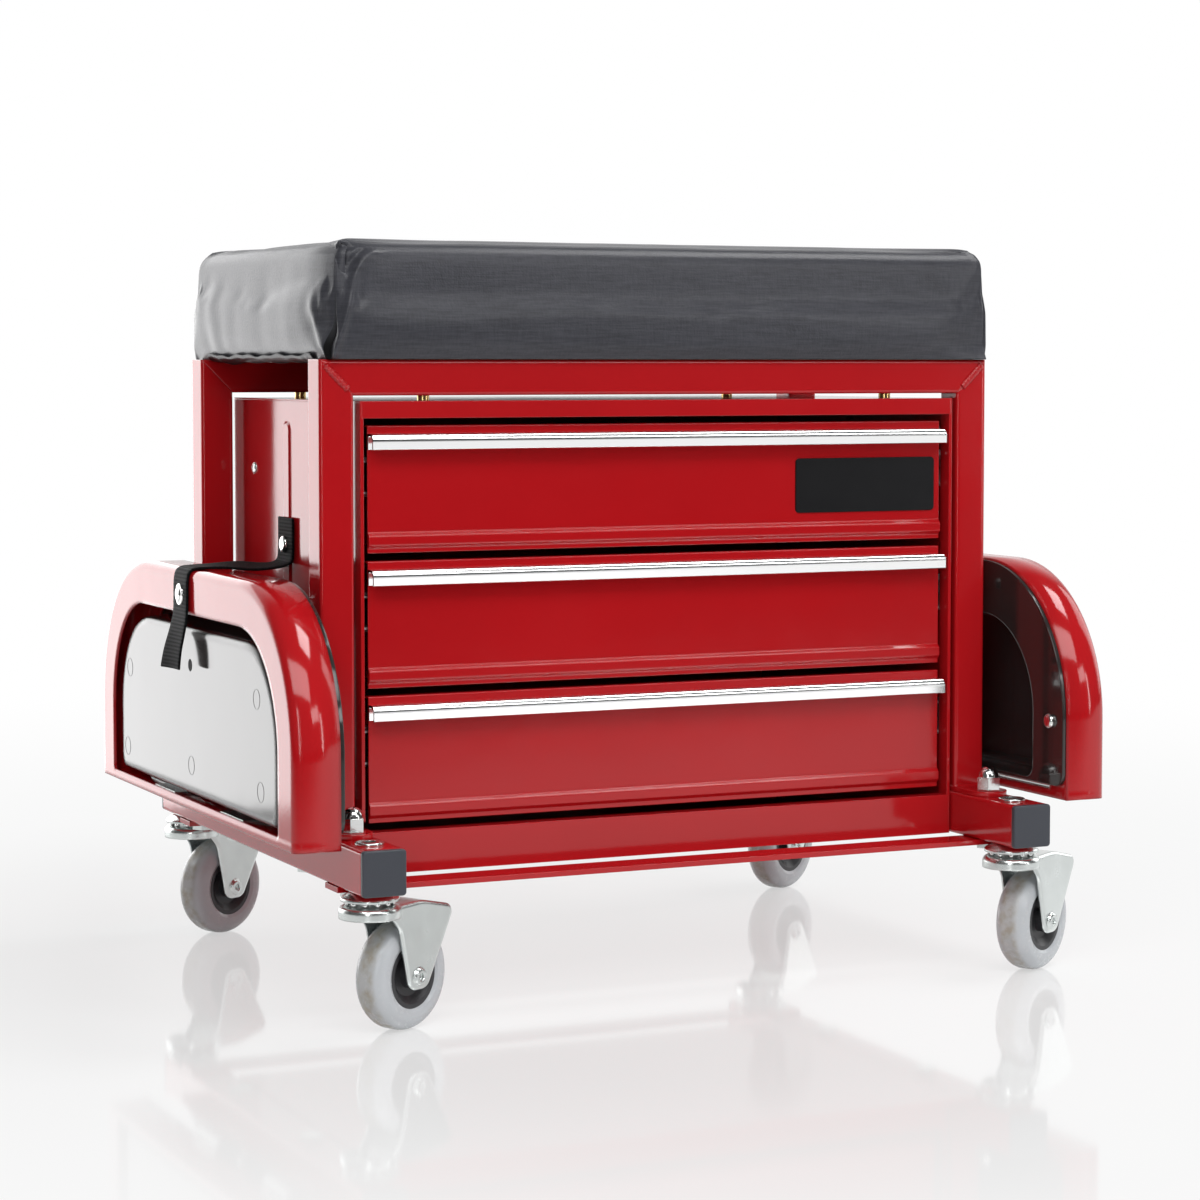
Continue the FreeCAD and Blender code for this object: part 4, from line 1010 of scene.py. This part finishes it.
def grow(name, carrier_mesh, tree, body, slot, **values):
    """Run a tree on a carrier mesh and keep the result as a plain piece on a body."""
    carrier = put(name + "_carrier", carrier_mesh)
    modifier = carrier.modifiers.new("Grow", "NODES")
    modifier.node_group = tree
    names = {s.name: s.identifier for s in tree.interface.items_tree if s.in_out == "INPUT"}
    for label, value in values.items():
        modifier[names[label]] = value
    mesh = applied(carrier)
    mesh.name = name
    piece = put(name, mesh)
    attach(piece, body)
    print("grown", name, len(mesh.polygons), "faces")


def aimed_points(rows):
    """Carrier of points, each with the direction that its copy faces."""
    mesh = bpy.data.meshes.new("points")
    mesh.from_pydata([p for p, _ in rows], [], [])
    aim = mesh.attributes.new("aim", "FLOAT_VECTOR", "POINT")
    aim.data.foreach_set("vector", np.array([d for _, d in rows], np.float32).ravel())
    return mesh


def carrier_lines(lines):
    """Carrier of separate straight edges."""
    mesh = bpy.data.meshes.new("lines")
    points = [p for line in lines for p in line]
    mesh.from_pydata(points, [(2 * i, 2 * i + 1) for i in range(len(lines))], [])
    return mesh


# %% Growing trees
def domed_rivets():
    g = Growth("domed_rivets", "Diameter", "Height")
    ball = g.add("GeometryNodeMeshUVSphere", {}, {"Segments": 24, "Rings": 12, "Radius": 1.0})
    half = g.given("Diameter") * 0.5
    size = g.add("ShaderNodeCombineXYZ", {}, {0: half, 1: half, 2: g.given("Height")})
    return g.close(g.aimed(ball, size))


def weld_beads():
    g = Growth("weld_beads", "Width", "Pitch", "Ripple")
    line = g.add("GeometryNodeMeshToCurve", {}, {"Mesh": g.given("Geometry")})
    sockets = {"Curve": line, "Length": g.given("Pitch") * 0.125}
    line = g.add("GeometryNodeResampleCurve", {"mode": "LENGTH"}, sockets)
    run = g.add("GeometryNodeSplineParameter", {}, {}, "Length")
    beat = (run * (2 * math.pi) / g.given("Pitch")).math("SINE")
    drift = g.add("ShaderNodeTexNoise", {}, {"Scale": 240.0, "Detail": 2.0}, 0)
    radius = g.given("Width") * 0.5 * (beat * g.given("Ripple") + drift * 0.30 + 0.85)
    line = g.add("GeometryNodeSetCurveRadius", {}, {"Curve": line, "Radius": radius})
    sockets = {"Curve": line, "Profile Curve": g.circle(10, 1.0), "Scale": radius, "Fill Caps": True}
    return g.close(g.add("GeometryNodeCurveToMesh", {}, sockets))


def ring_marks():
    g = Growth("ring_marks", "Diameter", "Line")
    ring = g.circle(40, g.given("Diameter") * 0.5)
    wire = g.circle(8, g.given("Line"))
    mark = g.add("GeometryNodeCurveToMesh", {}, {"Curve": ring, "Profile Curve": wire})
    return g.close(g.aimed(mark))


def wire_staples():
    g = Growth("wire_staples", "Span", "Wire")
    half = g.given("Span") * 0.5
    one, other = (g.add("ShaderNodeCombineXYZ", {}, {1: half * k}) for k in (-1.0, 1.0))
    crown = g.add("GeometryNodeCurvePrimitiveLine", {}, {"Start": one, "End": other})
    sockets = {"Curve": crown, "Profile Curve": g.circle(8, g.given("Wire") * 0.5), "Fill Caps": True}
    wire = g.add("GeometryNodeCurveToMesh", {}, sockets)
    sockets = {"Points": g.given("Geometry"), "Instance": wire}
    return g.close(g.add("GeometryNodeInstanceOnPoints", {}, sockets))


# %% [markdown]
# ### Rivets and welds
# The slides are riveted through the chest's sides, two rivets to a slide. The mitred corners of the
# portals are welded and dressed, which leaves a low uneven seam on each face.

# %% Rivets and welds
RIVET_YS = (-58, 66)
RIVET_ZS = (299, 224, 149)
side_skin = chest_wall - 1.0 * MM
rows = [((sign * side_skin, y * MM, z * MM), (sign, 0, 0))
        for sign in SIDES.values() for z in RIVET_ZS for y in RIVET_YS]
grow("slide_rivets", aimed_points(rows), domed_rivets(), "frame", "zinc_plate",
     Diameter=7 * MM, Height=1.4 * MM, Finish=zinc_plate)

sunk = 0.85 * MM
back_off = 3.5 * MM
seams = []
for sign in SIDES.values():
    for y in (portal_low.y + sunk, portal_high.y - sunk):
        outer = (sign * (portal_high.x - back_off), y, portal_high.z - back_off)
        inner = (sign * (portal_high.x - tube + back_off), y, portal_low.z + back_off)
        seams.append((outer, inner))
grow("mitre_welds", carrier_lines(seams), weld_beads(), "frame", "red_paint",
     Width=4.6 * MM, Pitch=2.4 * MM, Ripple=0.08, Finish=tube_red)

# %% [markdown]
# ### Staples
# A row of staples holds each hem to the board.

# %% Staples
staple_x = seat_high.x - 23.5 * MM
staple_z = SEAT_LOW - HEM_DROP * MM - HEM_THICK / 2 - 0.3 * MM
staple_ys = np.linspace(hem_start + 12 * MM, hem_start + hem_length - 12 * MM, 8)
rows = [((SEAT_MIDDLE_X + sign * staple_x, y, staple_z), (0, 0, -1))
        for sign in SIDES.values() for y in staple_ys]
grow("hem_staples", aimed_points(rows), wire_staples(), "frame", "zinc_plate",
     Span=10 * MM, Wire=0.8 * MM, Finish=zinc_plate)

# %% [markdown]
# ### Moulding marks
# The ejector pins of the mould leave faint rings on the outer face of each tray insert, and there
# is one small hole near its top. The hole is a shallow near-black disc on the face: painted
# shade for the inside of the hole.

# %% Moulding marks
mark_tree = ring_marks()
MARKS = [(124, 176), (-119, 180), (130, 127), (0, 130), (-125, 130)]
HOLE_PLACE = (1 * MM, 188 * MM)
HOLE_PROFILE = [(3.6, -0.3), (3.6, 0.05), (3.4, 0.16), (3.2, 0.16), (3.0, 0.08), (0.2, 0.08)]
# Near-black disc for the hole: painted shade for the dark inside of the hole.
hole_black = dull_moulding("hole_black", (0.004, 0.004, 0.004), (0.006, 0.006, 0.006), 0.7, 900.0)
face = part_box("tray_insert_right")[1].x
for side, sign in SIDES.items():
    rows = [((sign * face, y * MM, z * MM), (sign, 0, 0)) for y, z in MARKS]
    grow("ejector_marks_" + side, aimed_points(rows), mark_tree, "tray_" + side, "tray_plastic",
         Diameter=11 * MM, Line=0.16 * MM, Finish=tray_moulding)
    points, faces = turned(HOLE_PROFILE, (face, *HOLE_PLACE), sign)
    hole = new_piece("tray_hole_" + side, points, faces, hole_black)
    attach(hole, "tray_" + side)

# %% [markdown]
# ### Bare plate
# A small black plate is stuck on the top drawer's face, on the right. It carries nothing.

# %% Bare plate
PLATE_X = (84.8 * MM, 178.7 * MM)
PLATE_Z = (274 * MM, 306 * MM)
PLATE_THICK = 0.8 * MM
PLATE_CORNER = 2.5 * MM
CORNER_STEPS = 8


def plate_mesh(y):
    """Rounded plate that faces -Y, with a soft edge."""
    outline = []
    left, right = PLATE_X[0] + PLATE_CORNER, PLATE_X[1] - PLATE_CORNER
    low, high = PLATE_Z[0] + PLATE_CORNER, PLATE_Z[1] - PLATE_CORNER
    for cx, cz, start in ((right, low, -90), (right, high, 0), (left, high, 90), (left, low, 180)):
        for step in range(CORNER_STEPS + 1):
            a = math.radians(start + step * 90 / CORNER_STEPS)
            outline.append((cx + PLATE_CORNER * math.cos(a), cz + PLATE_CORNER * math.sin(a)))
    bm = bmesh.new()
    base = [bm.verts.new((px, y, pz)) for px, pz in outline]
    top = bm.faces.new(base)
    solid = bmesh.ops.extrude_face_region(bm, geom=[top])
    moved = [v for v in solid["geom"] if isinstance(v, bmesh.types.BMVert)]
    bmesh.ops.translate(bm, verts=moved, vec=(0, -PLATE_THICK, 0))
    edges = [e for e in bm.edges if all(abs(v.co.y - y + PLATE_THICK) < 1e-7 for v in e.verts)]
    bmesh.ops.bevel(bm, geom=edges, offset=PLATE_THICK * 0.4, segments=3, affect="EDGES", profile=0.6)
    bmesh.ops.recalc_face_normals(bm, faces=bm.faces)
    mesh = mesh_of(bm, "bare_plate")
    mesh.materials.append(plate_black)
    return mesh


plate = put("bare_plate", plate_mesh(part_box("drawer_top_pull")[1].y))
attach(plate, "drawer_top")
print("plate", len(plate.data.polygons), "faces")

# %% [markdown]
# ## Studio
# A white room with a polished pale floor. A large bright panel stands behind the left side: the
# left faces mirror it, which is why they look almost pink. It spares the floor, where it would draw
# a hard patch. The camera repeats the photograph's place, lens and framing.

# %% Camera
LENS_PX = 3106.07
IMAGE_PX = 1200
CENTRE_Y_PX = 549.235
SENSOR = 36.0


def aim(thing, place, way):
    """Put a camera or lamp at a place, looking along a direction."""
    thing.location = place
    thing.rotation_mode = "QUATERNION"
    thing.rotation_quaternion = way.to_track_quat("-Z", "Y")


camera_data = bpy.data.cameras.new("camera")
camera = put("camera", camera_data)
camera_data.sensor_width = SENSOR
camera_data.lens = SENSOR * LENS_PX / IMAGE_PX
camera_data.shift_y = (CENTRE_Y_PX - IMAGE_PX / 2) / IMAGE_PX
yaw, pitch = math.radians(24.765), math.radians(3.408)
look = Vector((math.sin(yaw) * math.cos(pitch), math.cos(yaw) * math.cos(pitch), -math.sin(pitch)))
aim(camera, (-0.7827, -1.7179, 0.3612), look)
bpy.context.scene.camera = camera
print("camera lens", round(camera_data.lens, 1), "mm")


# %% Light
WHITE = (1, 1, 1, 1)


def panel(name, place, target, size, radiance):
    """Oblong soft light that faces a point."""
    light = bpy.data.lights.new(name, "AREA")
    light.shape = "RECTANGLE"
    light.size, light.size_y = size
    light.energy = radiance * math.pi * size[0] * size[1]
    lamp = put(name, light)
    aim(lamp, place, Vector(target) - Vector(place))
    lamp.visible_camera = False
    return lamp


back_left_panel = panel("back_left_panel", (-0.45, 0.66, 0.37), (-0.245, 0.03, 0.37), (0.84, 0.73), 2.25)
panel("top_softbox", (0.95, -0.25, 2.15), (0.0, 0.0, 0.3), (0.9, 0.7), 9.0)
panel("front_panel", (-0.5, -1.9, 2.3), (0.0, 0.0, 0.25), (3.0, 1.2), 4.5)
panel("front_left_strip", (-1.15, -1.95, 0.62), (-0.2, -0.1, 0.2), (0.20, 1.1), 8.5)
panel("front_right_box", (1.1, -2.4, 1.25), (0.0, -0.1, 0.35), (1.0, 0.45), 5.0)
panel("front_right_strip", (1.62, -2.0, 0.60), (0.1, -0.1, 0.2), (0.16, 1.0), 8.0)
panel("right_panel", (2.4, 0.3, 1.0), (0.0, 0.0, 0.25), (1.4, 1.6), 2.2)


def room_light():
    world = bpy.data.worlds.new("room")
    bpy.context.scene.world = world
    world.use_nodes = True
    t = Tree(world.node_tree)
    t.tree.nodes.clear()
    seen = t.ray("Camera", "Glossy", "Transmission")
    way = t.add("ShaderNodeTexCoord", {}, {}, "Generated")
    behind = t.part(way, "Y").step(0.38, 0.74)
    room = behind * (seen * 0.30 + 0.60) + 0.10
    strength = room + t.ray("Camera") * (1.0 - room)
    sky = t.add("ShaderNodeBackground", {}, {"Color": WHITE, "Strength": strength})
    t.add("ShaderNodeOutputWorld", {}, {"Surface": sky})


room_light()
print("lamps", len(bpy.data.lights))

# %% [markdown]
# ### Floor
# The floor is nearly white, keeps some of the stool's shadow, and is polished close to it. Far to
# the front and far to the left it is dark in all but the camera's own view, so that the stool
# mirrors a dim studio there.

# %% Floor
POLISH_WAY = (0.96, -0.28, 0)
DIM_WAY = (0.85, 0.53, 0)
FLOOR_HALF = 12.0


def polished_floor():
    f = Finish("polished_floor")
    seen = f.ray("Camera", "Glossy", "Transmission")
    reach = f.vector("LENGTH", f.place)
    matt = f.add("ShaderNodeBsdfDiffuse", {}, {"Color": (0.86, 0.86, 0.86, 1)})
    level = reach.step(0.35, 1.7) * 0.07 + 0.93
    glow = f.add("ShaderNodeEmission", {}, {"Color": WHITE, "Strength": level})
    share = seen * (reach.step(0.25, 0.70) * 0.26 + 0.74)
    bright = f.add("ShaderNodeMixShader", {}, {0: share, 1: matt, 2: glow})
    normal = f.bump(f.noise(2.5, 2.0), 0.0015, 0.25)
    sockets = {"Color": WHITE, "Roughness": 0.06, "Normal": normal}
    mirror = f.add("ShaderNodeBsdfAnisotropic", {}, sockets)
    near = reach.step(0.80, 0.28) * f.vector("DOT_PRODUCT", f.place, POLISH_WAY).step(-0.31, -0.24)
    shiny = f.add("ShaderNodeMixShader", {}, {0: near * 0.22, 1: bright, 2: mirror})
    ahead = f.vector("DOT_PRODUCT", f.place, tuple(look)).step(-1.45, -0.60)
    aside = f.vector("DOT_PRODUCT", f.place, DIM_WAY).step(-1.6, -0.9)
    lit = (ahead * aside + f.ray("Camera")).clamp()
    dark = f.add("ShaderNodeBsdfDiffuse", {}, {"Color": (0.03, 0.03, 0.03, 1)})
    whole = f.add("ShaderNodeMixShader", {}, {0: lit, 1: dark, 2: shiny})
    f.add("ShaderNodeOutputMaterial", {}, {"Surface": whole})
    return f.material


floor_mesh = bpy.data.meshes.new("floor")
corners = [(x * FLOOR_HALF, y * FLOOR_HALF, 0) for x, y in ((-1, -1), (1, -1), (1, 1), (-1, 1))]
floor_mesh.from_pydata(corners, [], [(0, 1, 2, 3)])
floor = put("floor", floor_mesh)
floor_mesh.materials.append(polished_floor())
spared = bpy.data.collections.new("spared_by_back_left_panel")
spared.objects.link(floor)
spared.collection_objects[0].light_linking.link_state = "EXCLUDE"
back_left_panel.light_linking.receiver_collection = spared
bpy.context.scene.view_settings.view_transform = "Standard"
print("floor", 2 * FLOOR_HALF, "m wide")
